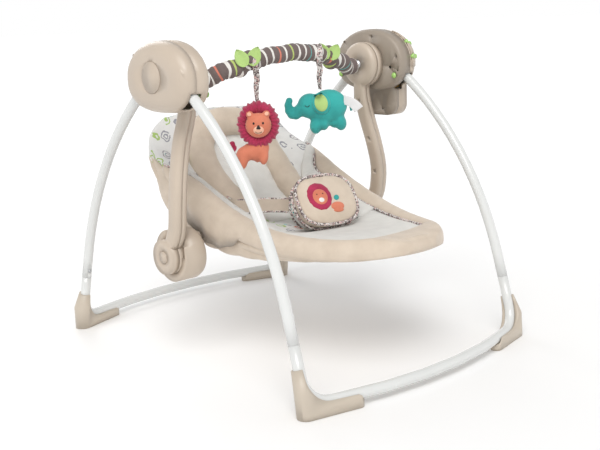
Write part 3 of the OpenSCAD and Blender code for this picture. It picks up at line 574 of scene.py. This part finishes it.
# ---------- shapes that lie on others ----------
def tree_of(*objs):
    """One ray-casting tree of the shown shape of some objects, all at rest in the row frame."""
    bpy.context.view_layer.update()
    graph = bpy.context.evaluated_depsgraph_get()
    verts, faces = [], []
    for obj in objs:
        shown = obj.evaluated_get(graph)
        mesh = shown.to_mesh()
        base = len(verts)
        verts += [shown.matrix_world @ v.co for v in mesh.vertices]
        faces += [[base + i for i in p.vertices] for p in mesh.polygons]
        shown.to_mesh_clear()
    return BVHTree.FromPolygons(verts, faces)


def applique(name, tree, centre, across, up, outline, thick, material, body, reach=0.06):
    """A patch laid on a surface. outline(angle) gives its radius; it is seen against across x up."""
    across, up, centre = Vector(across).normalized(), Vector(up).normalized(), Vector(centre)
    out = across.cross(up)
    rows, n = [], 32
    for share, lift in ((0.4, 1.0), (0.75, 0.95), (0.93, 0.75), (1.0, 0.1), (1.0, -0.8)):
        row = []
        for j in range(n):
            a = TAU * j / n
            p = centre + (across * math.cos(a) + up * math.sin(a)) * outline(a) * share
            hit = tree.ray_cast(p + out * reach, -out, 2 * reach)[0]
            row.append((hit if hit else p) + out * thick * lift)
        rows.append(row)
    hit = tree.ray_cast(centre + out * reach, -out, 2 * reach)[0]
    verts = [p for row in rows for p in row] + [(hit if hit else centre) + out * thick]
    faces = [(j, (j + 1) % n, len(verts) - 1) for j in range(n)]
    for i in range(len(rows) - 1):
        for j in range(n):
            k = (j + 1) % n
            faces.append(((i + 1) * n + j, (i + 1) * n + k, i * n + k, i * n + j))
    return add_mesh(name, verts, faces, material, body)


def oval(a, b, turn=0.0):
    return lambda t: a * b / math.hypot(b * math.cos(t - turn), a * math.sin(t - turn))


def copy_of(node, name, shrink=0.0):
    """A loose copy of a CAD node's mesh, drawn in along its normals."""
    mesh = NODES[node].data.copy()
    mesh.name = name
    bm = bmesh.new()
    bm.from_mesh(mesh)
    bmesh.ops.remove_doubles(bm, verts=bm.verts, dist=1e-5)
    bm.normal_update()
    for v in bm.verts:
        v.co -= v.normal * shrink
    bm.to_mesh(mesh)
    bm.free()
    obj = bpy.data.objects.new(name, mesh)
    bpy.context.scene.collection.objects.link(obj)
    return obj


# ---------- seat ----------
PIPING_U = 0.765      # inner edge of the border, as a share of the seat's half width
FOOT_IN = 0.90        # how far down the seat (s) the border's inner edge crosses the foot
BORDER_TOP = 0.19     # how far down the seat (s) the border starts, at the shoulders


PRINT_Y, PRINT_Z = 0.12, 0.352     # behind and above these the cover is printed cloth


def is_printed(face):
    return face.center.z > PRINT_Z and face.center.y > PRINT_Y


def dress(obj, material, body):
    """Gives a padded piece its cloth and its body."""
    obj.data.materials.clear()
    obj.data.materials.append(material)
    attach(obj, body)


def make_seat_body():
    obj = copy_of("seat_cover", "seat_body", 0.0035)
    modify(obj, "REMESH", mode="VOXEL", voxel_size=0.006)
    modify(obj, "SMOOTH", factor=0.5, iterations=4)
    bake_modifiers(obj)
    inflate(obj, 0.0045)
    modify(obj, "SUBSURF", levels=1, render_levels=1)
    bake_modifiers(obj)
    dress(obj, M["velour"], "seat")
    obj.data.materials.append(M["print"])
    obj.data.materials.append(M["velour_underside"])
    for face in obj.data.polygons:
        if is_printed(face):
            face.material_index = 1
        # Downward-facing faces in the seat's middle take the darker beige
        elif face.normal.z < -0.75 and abs(face.center.x) < 0.14:
            face.material_index = 2
    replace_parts(obj, "seat_cover")


def make_frame_hem():
    """The cover's sewn hem, a tight channel of cloth round the seat's frame tube."""
    obj = copy_of("seat_frame", "seat_frame_hem", -0.0022)
    dress(obj, M["velour"], "seat")
    obj.data.materials.append(M["print"])
    for face in obj.data.polygons:
        face.material_index = int(is_printed(face))
    obj.data.shade_smooth()


def loop_at(t, s_top, s_foot, u):
    """A place (s, u) on a loop down one side of the seat, across its foot and up the other."""
    side = 0.42     # share of the loop that runs along each side
    if t < side:
        return s_top + (s_foot - s_top) * t / side, -u
    if t <= 1 - side:
        return s_foot, u * (2 * (t - side) / (1 - 2 * side) - 1)
    return s_top + (s_foot - s_top) * (1 - t) / side, u


def inner_u(s):
    """How far out the seat's inner panels reach: to the edge up the back, then inside the border."""
    f = max(0.0, min(1.0, (s - 0.185) / 0.165))
    return 0.985 + (PIPING_U - 0.985) * f * f * (3 - 2 * f)


def inner_at(t):
    s, u = loop_at(t, BORDER_TOP, FOOT_IN, PIPING_U)
    return s, math.copysign(min(inner_u(s), abs(u) * inner_u(s) / PIPING_U), u)


def make_border():
    """The stuffed velour rim from the shoulders round the foot, rolled over the edge, with its piping."""
    steps, fine = 150, 26
    rows = []
    for i in range(steps + 1):
        t = i / steps
        inner, outer = inner_at(t), loop_at(t, BORDER_TOP, 0.998, 0.999)
        middle = [(a + b) / 2 for a, b in zip(inner, outer)]
        normal = (on_seat(*middle, 0.01) - on_seat(*middle)).normalized()
        out = (on_seat(*outer) - on_seat(*inner)).normalized()
        ends = min(1.0, 12 * min(t, 1 - t) + 0.06) ** 0.5
        crimp = 1 + 0.03 * math.sin(i * 1.9) * math.sin(i * 0.37)
        deep = 1.4 + 0.9 * math.exp(-((middle[0] - 0.36) / 0.13) ** 2) * (abs(middle[1]) > 0.5)
        ring = []
        for k in range(fine):
            c, h = math.cos(TAU * k / fine), math.sin(TAU * k / fine)
            f = (1 + math.copysign(abs(c) ** 0.7, c)) / 2
            base = on_seat(inner[0] + (outer[0] - inner[0]) * f, inner[1] + (outer[1] - inner[1]) * f)
            height = 0.0125 * crimp if h > 0 else 0.0145 * deep
            rise = math.copysign(abs(h) ** 0.8, h) * height - 0.0085 * deep * max(0.0, c)
            ring.append(base + normal * (rise * ends) + out * (0.005 * ends * max(0.0, c)))
        rows.append(ring)
    verts, faces = join_rows(rows)
    rim = add_mesh("seat_border", verts, faces, M["velour"], "seat")
    modify(rim, "SMOOTH", factor=0.5, iterations=2)
    line = smooth_line([on_seat(*inner_at(i / 60), 0.0050) for i in range(61)], 240)
    sweep("border_piping", line, round_section(0.0027, 10), M["speckle"], "seat")


def pad(name, s0, s1, u0, u1, material, puff, base=0.003, channels=0, fine=(46, 26), taper=0.0):
    """A sewn pad on the seat, from s0 to s1 and u0 to u1: crowned by puff and drawn in at its seams.
    channels quilts it across; taper narrows its head end towards the outer edge over that much of s."""
    ns, nu = fine

    def crown(a, b):
        high = max(0.0, (1 - abs(2 * a - 1) ** 5) * (1 - abs(2 * b - 1) ** 5)) ** 0.6
        if channels:
            high *= 1 - 0.5 * max(0.0, 1 - abs(math.sin(math.pi * channels * a)) * 3.2)
        return puff * high

    top, under = [], []
    for i in range(ns + 1):
        a = i / ns
        s = s0 + (s1 - s0) * a
        spread = inner_u(s) / PIPING_U
        share = min(1.0, 0.2 + 0.8 * (s - s0) / taper) if taper else 1.0
        outer = u0 if abs(u0) > abs(u1) else u1
        row = [(s, (outer + (u0 + (u1 - u0) * j / nu - outer) * share) * spread, crown(a, j / nu))
               for j in range(nu + 1)]
        top.append([on_seat(s, u, base + h) for s, u, h in row])
        under.append([on_seat(s, u, -0.002) for s, u, _ in row])
    rows = [t + list(reversed(b)) for t, b in zip(top, under)]
    verts, faces = join_rows(rows)
    obj = add_mesh(name, verts, faces, material, "seat")


def make_seat_pads():
    pad("back_print_pad", 0.02, 0.41, -0.99 * PIPING_U, 0.99 * PIPING_U, M["print"], 0.008, fine=(70, 34))
    pad("seat_print_pad", 0.40, 0.64, -0.56, 0.56, M["print"], 0.008)
    for name, side in (("near", -1), ("far", 1)):
        u0, u1 = sorted((side * 0.52, side * 0.99 * PIPING_U))
        pad(f"{name}_side_pad", 0.21, 0.66, u0, u1, M["pale"], 0.008, 0.008, channels=7, taper=0.24,
            fine=(80, 26))
    pad("foot_pad", 0.65, FOOT_IN + 0.006, -0.99 * PIPING_U, 0.99 * PIPING_U, M["pale"], 0.012)
    for i, s in enumerate((0.40, 0.652)):
        line = smooth_line([on_seat(s, u / 10, 0.006) for u in range(-7, 8)], 60)
        sweep(f"cross_piping_{i + 1}", line, round_section(0.002, 8), M["speckle"], "seat")


def make_insert():
    """The horseshoe bolster, its pale inner pad and the flap below it."""
    x_of = lambda s, x: max(-0.78, min(0.78, x / width_at(s)))
    knots = [(0.43, 0.070), (0.38, 0.084), (0.30, 0.090), (0.21, 0.088), (0.13, 0.078), (0.08, 0.050),
             (0.065, 0.0)]
    side = [on_seat(s, x_of(s, x), 0.016) for s, x in knots]
    steps = 120
    line = smooth_line(side + [Vector((-p.x, p.y, p.z)) for p in reversed(side[:-1])], steps)

    def section(t, run, turn):
        c, s = math.cos(TAU * turn), math.sin(TAU * turn)
        end = min(1.0, 0.35 + 7 * min(t, 1 - t)) ** 0.5
        pucker = 1 + 0.035 * math.sin(run * 150 + 2 * c)
        return 0.031 * end * c, 0.0200 * end * pucker * math.copysign(abs(s) ** 0.85, s)

    middle = side[2].copy()
    middle.x = 0
    roll = sweep("insert_bolster", line, section_of(24, section), M["velour"], "seat",
                 lambda t: line[int(t * steps)] - middle)
    modify(roll, "REMESH", mode="VOXEL", voxel_size=0.0045)
    modify(roll, "SMOOTH", factor=0.5, iterations=3)
    bake_modifiers(roll)
    inflate(roll, 0.005)
    modify(roll, "SUBSURF", levels=1, render_levels=1)
    dress(roll, M["velour"], "seat")
    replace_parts(roll, "body_insert")
    wide = 0.068 / width_at(0.25)
    pad("insert_inner_pad", 0.10, 0.43, -wide, wide, M["white"], 0.010, 0.008)
    pad("insert_flap", 0.43, 0.50, -wide * 0.72, wide * 0.72, M["white"], 0.006, 0.010, fine=(20, 20))
    edge = smooth_line([p + Vector((0, 0, 0.001)) for p in line[6:-6]], steps)
    across = [(p - middle).normalized() for p in edge]
    for i, out in enumerate((0.0204, -0.0204)):
        sweep(f"bolster_seam_{i + 1}", [p + a * out for p, a in zip(edge, across)],
              round_section(0.0014, 8), M["speckle"], "seat")


def make_harness():
    low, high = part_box("harness")
    z = (low.z + high.z) / 2
    wide, across = 0.027, (0, 0.35, 0.94)
    straps = []
    for name, side in (("near", -1), ("far", 1)):
        line = smooth_line([on_seat(0.40, side * 0.62, 0.012), Vector((side * 0.105, 0.012, z + 0.006)),
                            Vector((side * 0.062, -0.022, z + 0.006)),
                            Vector((side * 0.024, -0.046, z + 0.002))], 60)
        strap = sweep(f"{name}_waist_strap", line, strap_section(wide, 0.0028), M["webbing"], "seat", across)
        for edge in (-1, 1):
            rim = [p + Vector(across) * (edge * 0.0125) for p in line]
            sweep(f"{name}_strap_binding_{edge + 2}", rim, round_section(0.0019, 8), M["speckle"], "seat")
        straps.append(strap)
    crotch = smooth_line([on_seat(0.60, 0, 0.008), on_seat(0.585, 0, 0.026), Vector((0, -0.062, z - 0.010)),
                          Vector((0, -0.050, z + 0.004)), Vector((0, -0.040, z + 0.020))], 50)
    section = strap_section(lambda t: 0.052 + 0.030 * math.sin(math.pi * t) ** 2, 0.005, 24, 0.005)
    shield = sweep("crotch_shield", crotch, section, M["dots"], "seat", (1, 0, 0))
    for edge in (-1, 1):
        rim = [p + Vector((edge * (0.026 + 0.015 * math.sin(math.pi * i / 50) ** 2), 0, 0))
               for i, p in enumerate(crotch)]
        sweep(f"crotch_binding_{edge + 2}", rim, round_section(0.0024, 8), M["speckle"], "seat")
    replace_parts(straps[0], "harness")


def make_lap_pad():
    low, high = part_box("lap_pad")
    centre = (low + high) / 2
    turn = Matrix.Rotation(math.radians(-14), 3, "Z") @ Matrix.Rotation(math.radians(-36), 3, "X")
    across, up, front = turn @ Vector((1, 0, 0)), turn @ Vector((0, 0, 1)), turn @ Vector((0, -1, 0))
    wide, tall, deep = 0.120, 0.100, 0.034

    def outline(depth, share, n, closed=0):
        """A ring of points round the pad, depth in front of its middle, at that share of its full size."""
        ring = []
        for j in range(n + closed):
            c, s = math.cos(TAU * j / n), math.sin(TAU * j / n)
            x, y = math.copysign(abs(c) ** 0.70, c) * wide / 2, math.copysign(abs(s) ** 0.70, s) * tall / 2
            ring.append(centre + front * depth + across * (share * x) + up * (share * y))
        return ring

    levels = ((-1, 0.70), (-1, 0.9), (-0.8, 0.98), (0, 1.0), (0.8, 0.98), (1, 0.9), (1, 0.70))
    verts, faces = join_rows([outline(depth * deep * 0.42, share, 56) for depth, share in levels])
    obj = add_mesh("lap_pillow", verts, faces, M["velour"])
    modify(obj, "REMESH", mode="VOXEL", voxel_size=0.004)
    modify(obj, "SMOOTH", factor=0.5, iterations=3)
    bake_modifiers(obj)
    inflate(obj, 0.007)
    modify(obj, "SUBSURF", levels=1, render_levels=1)
    bake_modifiers(obj)
    dress(obj, M["velour"], "seat")
    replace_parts(obj, "lap_pad")
    for i, depth in enumerate((-0.30, 0.26)):
        sweep(f"lap_piping_{i + 1}", outline(depth * deep, 1.015, 80, closed=1), round_section(0.0030, 10),
              M["speckle"], "seat", front, capped=False)
    tree = tree_of(obj)
    mane = lambda a: oval(0.024, 0.028)(a) * (1 + 0.02 * math.sin(13 * a))
    for part, x, y, shape, thick, cloth in (
            ("mane", -0.018, 0.004, mane, 0.0016, "mane"),
            ("face", -0.018, 0.002, oval(0.0155, 0.0165), 0.0028, "orange"),
            ("muzzle", -0.018, -0.005, oval(0.006, 0.005), 0.0036, "white"),
            ("body", 0.012, -0.020, oval(0.014, 0.0085), 0.0016, "orange"),
            ("legs", 0.012, -0.028, oval(0.011, 0.004), 0.0016, "orange"),
            ("blob", 0.015, -0.003, oval(0.006, 0.005, 0.6), 0.0016, "teal"),
            ("eye_1", -0.024, 0.007, oval(0.0013, 0.0013), 0.0036, "thread"),
            ("eye_2", -0.012, 0.007, oval(0.0013, 0.0013), 0.0036, "thread")):
        applique(f"lap_motif_{part}", tree, centre + across * x + up * y, across, up, shape, thick, M[cloth],
                 "seat")


make_seat_body()
make_frame_hem()
make_border()
make_seat_pads()
make_insert()
make_harness()
make_lap_pad()


# ---------- toy bar ----------
def bar_line():
    """The middle of the toy bar's sleeve, from the CAD sleeve's points in slices along X."""
    points = sorted((v.co.copy() for v in NODES["toy_bar_sleeve"].data.vertices), key=lambda p: p.x)
    slices, spare = 34, 0.004
    width = (points[-1].x - points[0].x) / slices
    knots = []
    for k in range(slices):
        low = points[0].x + k * width
        inside = [p for p in points if low - spare <= p.x <= low + width + spare]
        if len(inside) > 8:
            y = (min(p.y for p in inside) + max(p.y for p in inside)) / 2
            z = (min(p.z for p in inside) + max(p.z for p in inside)) / 2
            knots.append(Vector((low + width / 2, y, z)))
    return knots


BAR_R = 0.0160     # mean radius of the gathered sleeve
BAR = smooth_line(bar_line(), 420)


def make_sleeve():
    def size(t, run, turn):
        gather = math.sin(run * 560 + 1.2 * math.sin(TAU * turn)) * (0.3 + 0.7 * abs(math.sin(run * 17)))
        hem = 1 if 0.006 < t < 0.994 else 0.82
        return BAR_R * (0.97 + 0.055 * gather + 0.03 * math.sin(run * 97 + TAU * turn)) * hem

    sleeve = sweep("bar_sleeve", BAR, round_section(size, 28), M["stripes"], "toy_bar", (0, 1, 0))
    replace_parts(sleeve, "toy_bar_sleeve")


def bar_at(x):
    return min(BAR, key=lambda p: abs(p.x - x))


def leaf(name, centre, tip, normal, width, body):
    """A felt leaf or half heart, folded a little along its middle."""
    centre, tip = Vector(centre), Vector(tip)
    along = tip - centre
    across = along.cross(Vector(normal)).normalized()
    out = across.cross(along).normalized()
    rows = []
    for i in range(13):
        t = i / 12
        w = width * (math.sin(math.pi * min(1, (0.03 + 0.97 * t) ** 0.8)) ** 0.7)
        p = centre + along * t
        row = [p + across * (w * k / 4) + out * (0.0025 * abs(k) / 4 + 0.0012) for k in range(-4, 5)]
        row += [q - out * 0.0014 for q in reversed(row)]
        rows.append(row)
    verts, faces = join_rows(rows)
    obj = add_mesh(name, verts, faces, M["lime"], body)


def make_leaves():
    toward = Vector((-0.643, -0.766, 0.15)).normalized()     # out of the bar, to its front left
    right = Vector((0.766, -0.643, 0))
    up = Vector((0, 0, 1))
    for i, (x, lean, size) in enumerate(((-0.104, -0.55, 0.034), (-0.094, 0.45, 0.036), (0.094, -0.45, 0.034),
                                        (0.104, 0.55, 0.032))):
        root = bar_at(x) + toward * (BAR_R + 0.002) - up * 0.010
        tip = root + (up + right * lean).normalized() * size
        leaf(f"bar_leaf_{i + 1}", root, tip, toward, 0.0125, "toy_bar")
    root = bar_at(-0.186) + toward * (BAR_R + 0.002)
    leaf("bar_leaf_5", root + up * 0.008, root - up * 0.020, toward, 0.009, "toy_bar")


# ---------- hanging toys ----------
FACING = math.radians(-40)     # how far the toys are turned from the seat's front
RIGHT = Vector((math.cos(FACING), math.sin(FACING), 0))
FRONT = Vector((math.sin(FACING), -math.cos(FACING), 0))
UP = Vector((0, 0, 1))


def toy_place(body):
    """Turns right, front and up distances from a toy's hinge on the bar into positions."""
    anchor = Vector(next(j for j in frame["joints"] if j["child"] == body)["pos_m"])
    return lambda x, y, z: anchor + RIGHT * x + FRONT * y + UP * z


def toy_plush(name, at, parts, material, body, voxel=0.0028, soften=5, puff=0.0):
    """A stuffed shape: ellipsoids melted together, then puffed. Each ellipsoid is its place (right,
    front, up), its three radii and a turn in degrees."""
    mesh = bpy.data.meshes.new(name)
    bm = bmesh.new()
    facing = Matrix.Rotation(FACING, 4, "Z")
    for x, y, z, rx, ry, rz, turn in parts:
        place = (Matrix.Translation(at(x, y, z)) @ facing @ Matrix.Rotation(math.radians(turn), 4, "Y")
                 @ Matrix.Diagonal((rx, ry, rz, 1)))
        bmesh.ops.create_icosphere(bm, subdivisions=3, radius=1, matrix=place)
    bm.to_mesh(mesh)
    bm.free()
    obj = bpy.data.objects.new(name, mesh)
    bpy.context.scene.collection.objects.link(obj)
    modify(obj, "REMESH", mode="VOXEL", voxel_size=voxel)
    modify(obj, "SMOOTH", factor=0.6, iterations=soften)
    bake_modifiers(obj)
    if puff:
        inflate(obj, puff)
    modify(obj, "SUBSURF", levels=1, render_levels=1)
    dress(obj, material, body)
    return obj


def ribbon(name, at, z0, z1, body):
    """A toy's hanging ribbon, from height z0 at the bar to z1 at the toy, and its loop round the sleeve."""
    wide, thick, loop_r = 0.011, 0.0012, BAR_R + 0.0028
    line = smooth_line([at(0, BAR_R * 0.2, z0), at(0.001, 0.004, z0 - 0.012),
                        at(-0.001, 0.001, (z0 + z1) / 2), at(0, 0, z1)], 40)
    twist = lambda t: RIGHT * math.cos(1.1 * t) + FRONT * math.sin(1.1 * t)
    band = sweep(name, line, strap_section(wide, thick, 16), M["speckle"], body, twist)
    loop = [at(0, loop_r * math.cos(TAU * k / 24), loop_r * math.sin(TAU * k / 24)) for k in range(25)]
    band = sweep(name + "_loop", loop, strap_section(wide, thick, 12), M["speckle"], "toy_bar", RIGHT,
                 capped=False)


def toy_patch(name, tree, place, outline, thick, cloth, body):
    """A patch sewn to a toy's front."""
    return applique(name, tree, place, RIGHT, UP, outline, thick, M[cloth], body)


def make_lion():
    at = toy_place("lion")
    z = -0.112     # height of the head's middle, from the hinge
    ribbon("lion_ribbon", at, -BAR_R - 0.0025, z + 0.036, "lion")
    rows = []
    for share, depth in ((0.25, -0.013), (0.60, -0.015), (0.84, -0.013), (0.96, -0.007), (1.0, 0.0),
                         (0.97, 0.008), (0.88, 0.0145), (0.76, 0.0165), (0.64, 0.014), (0.55, 0.008),
                         (0.3, 0.006)):
        row = []
        for j in range(180):
            a = TAU * j / 180
            ruffle = math.sin(23 * a + 5 * share) + 0.6 * math.sin(41 * a - 7 * share) + 0.4 * math.sin(9 * a)
            r = 0.040 * share * (1 + 0.034 * ruffle * share)
            puff = (0.0018 * math.sin(31 * a + 11 * share) + 0.0012 * math.sin(47 * a - 19 * share)) * share
            row.append(at(r * math.cos(a) * 0.97, depth + puff, z + r * math.sin(a) * 1.06))
        rows.append(row)
    verts, faces = join_rows(rows)
    mane = add_mesh("lion_mane", verts, faces, M["mane"], "lion")
    modify(mane, "SUBSURF", levels=1, render_levels=1)
    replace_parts(mane, "lion_toy")
    lifted = lambda parts: [(x, y, z + dz, *rest) for x, y, dz, *rest in parts]
    ears = [(side * 0.0155, 0.014, 0.0195, 0.0070, 0.006, 0.0068, 0) for side in (-1, 1)]
    head = toy_plush("lion_head", at, lifted([(0, 0.013, -0.001, 0.0240, 0.014, 0.0230, 0)] + ears),
                     M["orange"], "lion", voxel=0.002, soften=3, puff=0.0015)
    tree = tree_of(head)
    spot = lambda x, dz: at(x, 0.03, z + dz)
    muzzle = toy_patch("lion_muzzle", tree, spot(0, -0.0085), oval(0.0095, 0.0075), 0.0030, "peach", "lion")
    three_sided = lambda a: 0.0036 * (1 + 0.18 * math.cos(3 * a + TAU / 4))
    toy_patch("lion_nose", tree_of(head, muzzle), spot(0, -0.0035), three_sided, 0.0016, "thread", "lion")
    for i, x in enumerate((-0.0085, 0.0085)):
        toy_patch(f"lion_eye_{i + 1}", tree, spot(x, 0.0040), oval(0.0018, 0.0022), 0.0016, "thread", "lion")
        toy_patch(f"lion_ear_lining_{i + 1}", tree, spot(1.85 * x, 0.0200), oval(0.0038, 0.0036), 0.0014,
                  "peach", "lion")
    mouth = []
    for k in range(11):
        a = k / 10 * math.pi
        mouth.append(at(0.0055 * math.sin(a - math.pi / 2), 0.0305, z - 0.0105 - 0.0028 * math.sin(a)))
    sweep("lion_mouth", mouth, round_section(0.0005, 6), M["thread"], "lion")
    torso = [(0.002, 0.0, -0.046, 0.016, 0.013, 0.020, 20), (-0.012, 0.0, -0.050, 0.020, 0.014, 0.017, 20),
             (-0.028, 0.0, -0.055, 0.015, 0.013, 0.016, 30)]
    legs = [(0.008, 0.004, -0.060, 0.0085, 0.009, 0.016, 8), (-0.004, -0.003, -0.060, 0.008, 0.008, 0.012, 8),
            (-0.031, 0.004, -0.070, 0.0085, 0.009, 0.014, 20),
            (-0.040, -0.003, -0.062, 0.0085, 0.008, 0.012, 25)]
    toy_plush("lion_body", at, lifted(torso + legs), M["orange"], "lion", voxel=0.0025, puff=0.002)
    tuft = [(-0.050, 0.0, -0.036, 0.0060, 0.005, 0.0075, 30), (-0.045, 0.0, -0.045, 0.003, 0.003, 0.008, 30)]
    toy_plush("lion_tail_tuft", at, lifted(tuft), M["mane"], "lion", voxel=0.002, soften=3)


def make_elephant():
    hung = toy_place("elephant")
    z = -0.100     # height of the body's middle, from the hinge
    ribbon("elephant_ribbon", hung, -BAR_R - 0.0025, z + 0.034, "elephant")
    at = lambda x, y, height: hung(0.88 * x, y, z + 1.12 * (height - z))
    trunk = [(-0.046, 0.002, -0.003, 0.013, 0.012, 0.013, 0), (-0.055, 0.002, -0.010, 0.011, 0.010, 0.011, 0),
             (-0.064, 0.002, -0.010, 0.0095, 0.009, 0.0095, 0),
             (-0.0705, 0.002, -0.003, 0.0085, 0.008, 0.009, 0),
             (-0.0715, 0.002, 0.006, 0.008, 0.0075, 0.009, 0),
             (-0.0685, 0.002, 0.014, 0.0075, 0.007, 0.007, 0)]
    body = [(0.016, 0, 0.001, 0.039, 0.019, 0.034, -6), (-0.022, 0.002, 0.003, 0.027, 0.018, 0.026, 0),
            (-0.012, 0.002, -0.032, 0.0125, 0.013, 0.017, 0), (0.006, 0.004, -0.030, 0.0105, 0.012, 0.013, 0),
            (0.044, 0.001, -0.027, 0.0125, 0.013, 0.017, -8), (0.030, -0.002, -0.026, 0.011, 0.012, 0.014, 0)]
    shape = [(x, y, z + dz, *rest) for x, y, dz, *rest in body + trunk]
    toy = toy_plush("elephant_plush", at, shape, M["teal"], "elephant", soften=4, puff=0.002)
    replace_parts(toy, "elephant_toy")
    tree = tree_of(toy)
    ear = toy_patch("elephant_ear", tree, at(0, 0.03, z + 0.008), oval(0.0175, 0.0215, 0.2), 0.0040, "teal",
                    "elephant")
    toy_patch("elephant_ear_lining", tree_of(toy, ear), at(0, 0.03, z + 0.009), oval(0.0125, 0.0165, 0.2),
              0.0016, "lime", "elephant")
    eye = []
    for k in range(11):
        a = math.pi * (1 + k / 10)
        before = at(-0.030 + 0.0045 * math.cos(a), 0.05, z + 0.006 + 0.003 * math.sin(a))
        eye.append(tree.ray_cast(before, -FRONT)[0] + FRONT * 0.0004)
    sweep("elephant_eye_stitch", eye, round_section(0.0006, 6), M["thread"], "elephant")
    tail = smooth_line([at(0.056, 0, z + 0.008), at(0.064, 0, z + 0.004), at(0.067, 0, z - 0.008)], 20)
    thin = round_section(lambda t, run, turn: 0.0028 * (1.1 - 0.3 * t), 10)
    sweep("elephant_tail", tail, thin, M["teal"], "elephant")
    tag = smooth_line([at(0.050, 0.012, z + 0.012), at(0.060, 0.016, z + 0.010), at(0.072, 0.018, z + 0.004),
                       at(0.082, 0.016, z - 0.005)], 24)
    wide = 0.020
    label = sweep("elephant_tag", tag, strap_section(wide, 0.0007, 14), M["tag"], "elephant",
                  UP + FRONT * 0.3)


make_sleeve()
make_leaves()
make_lion()
make_elephant()
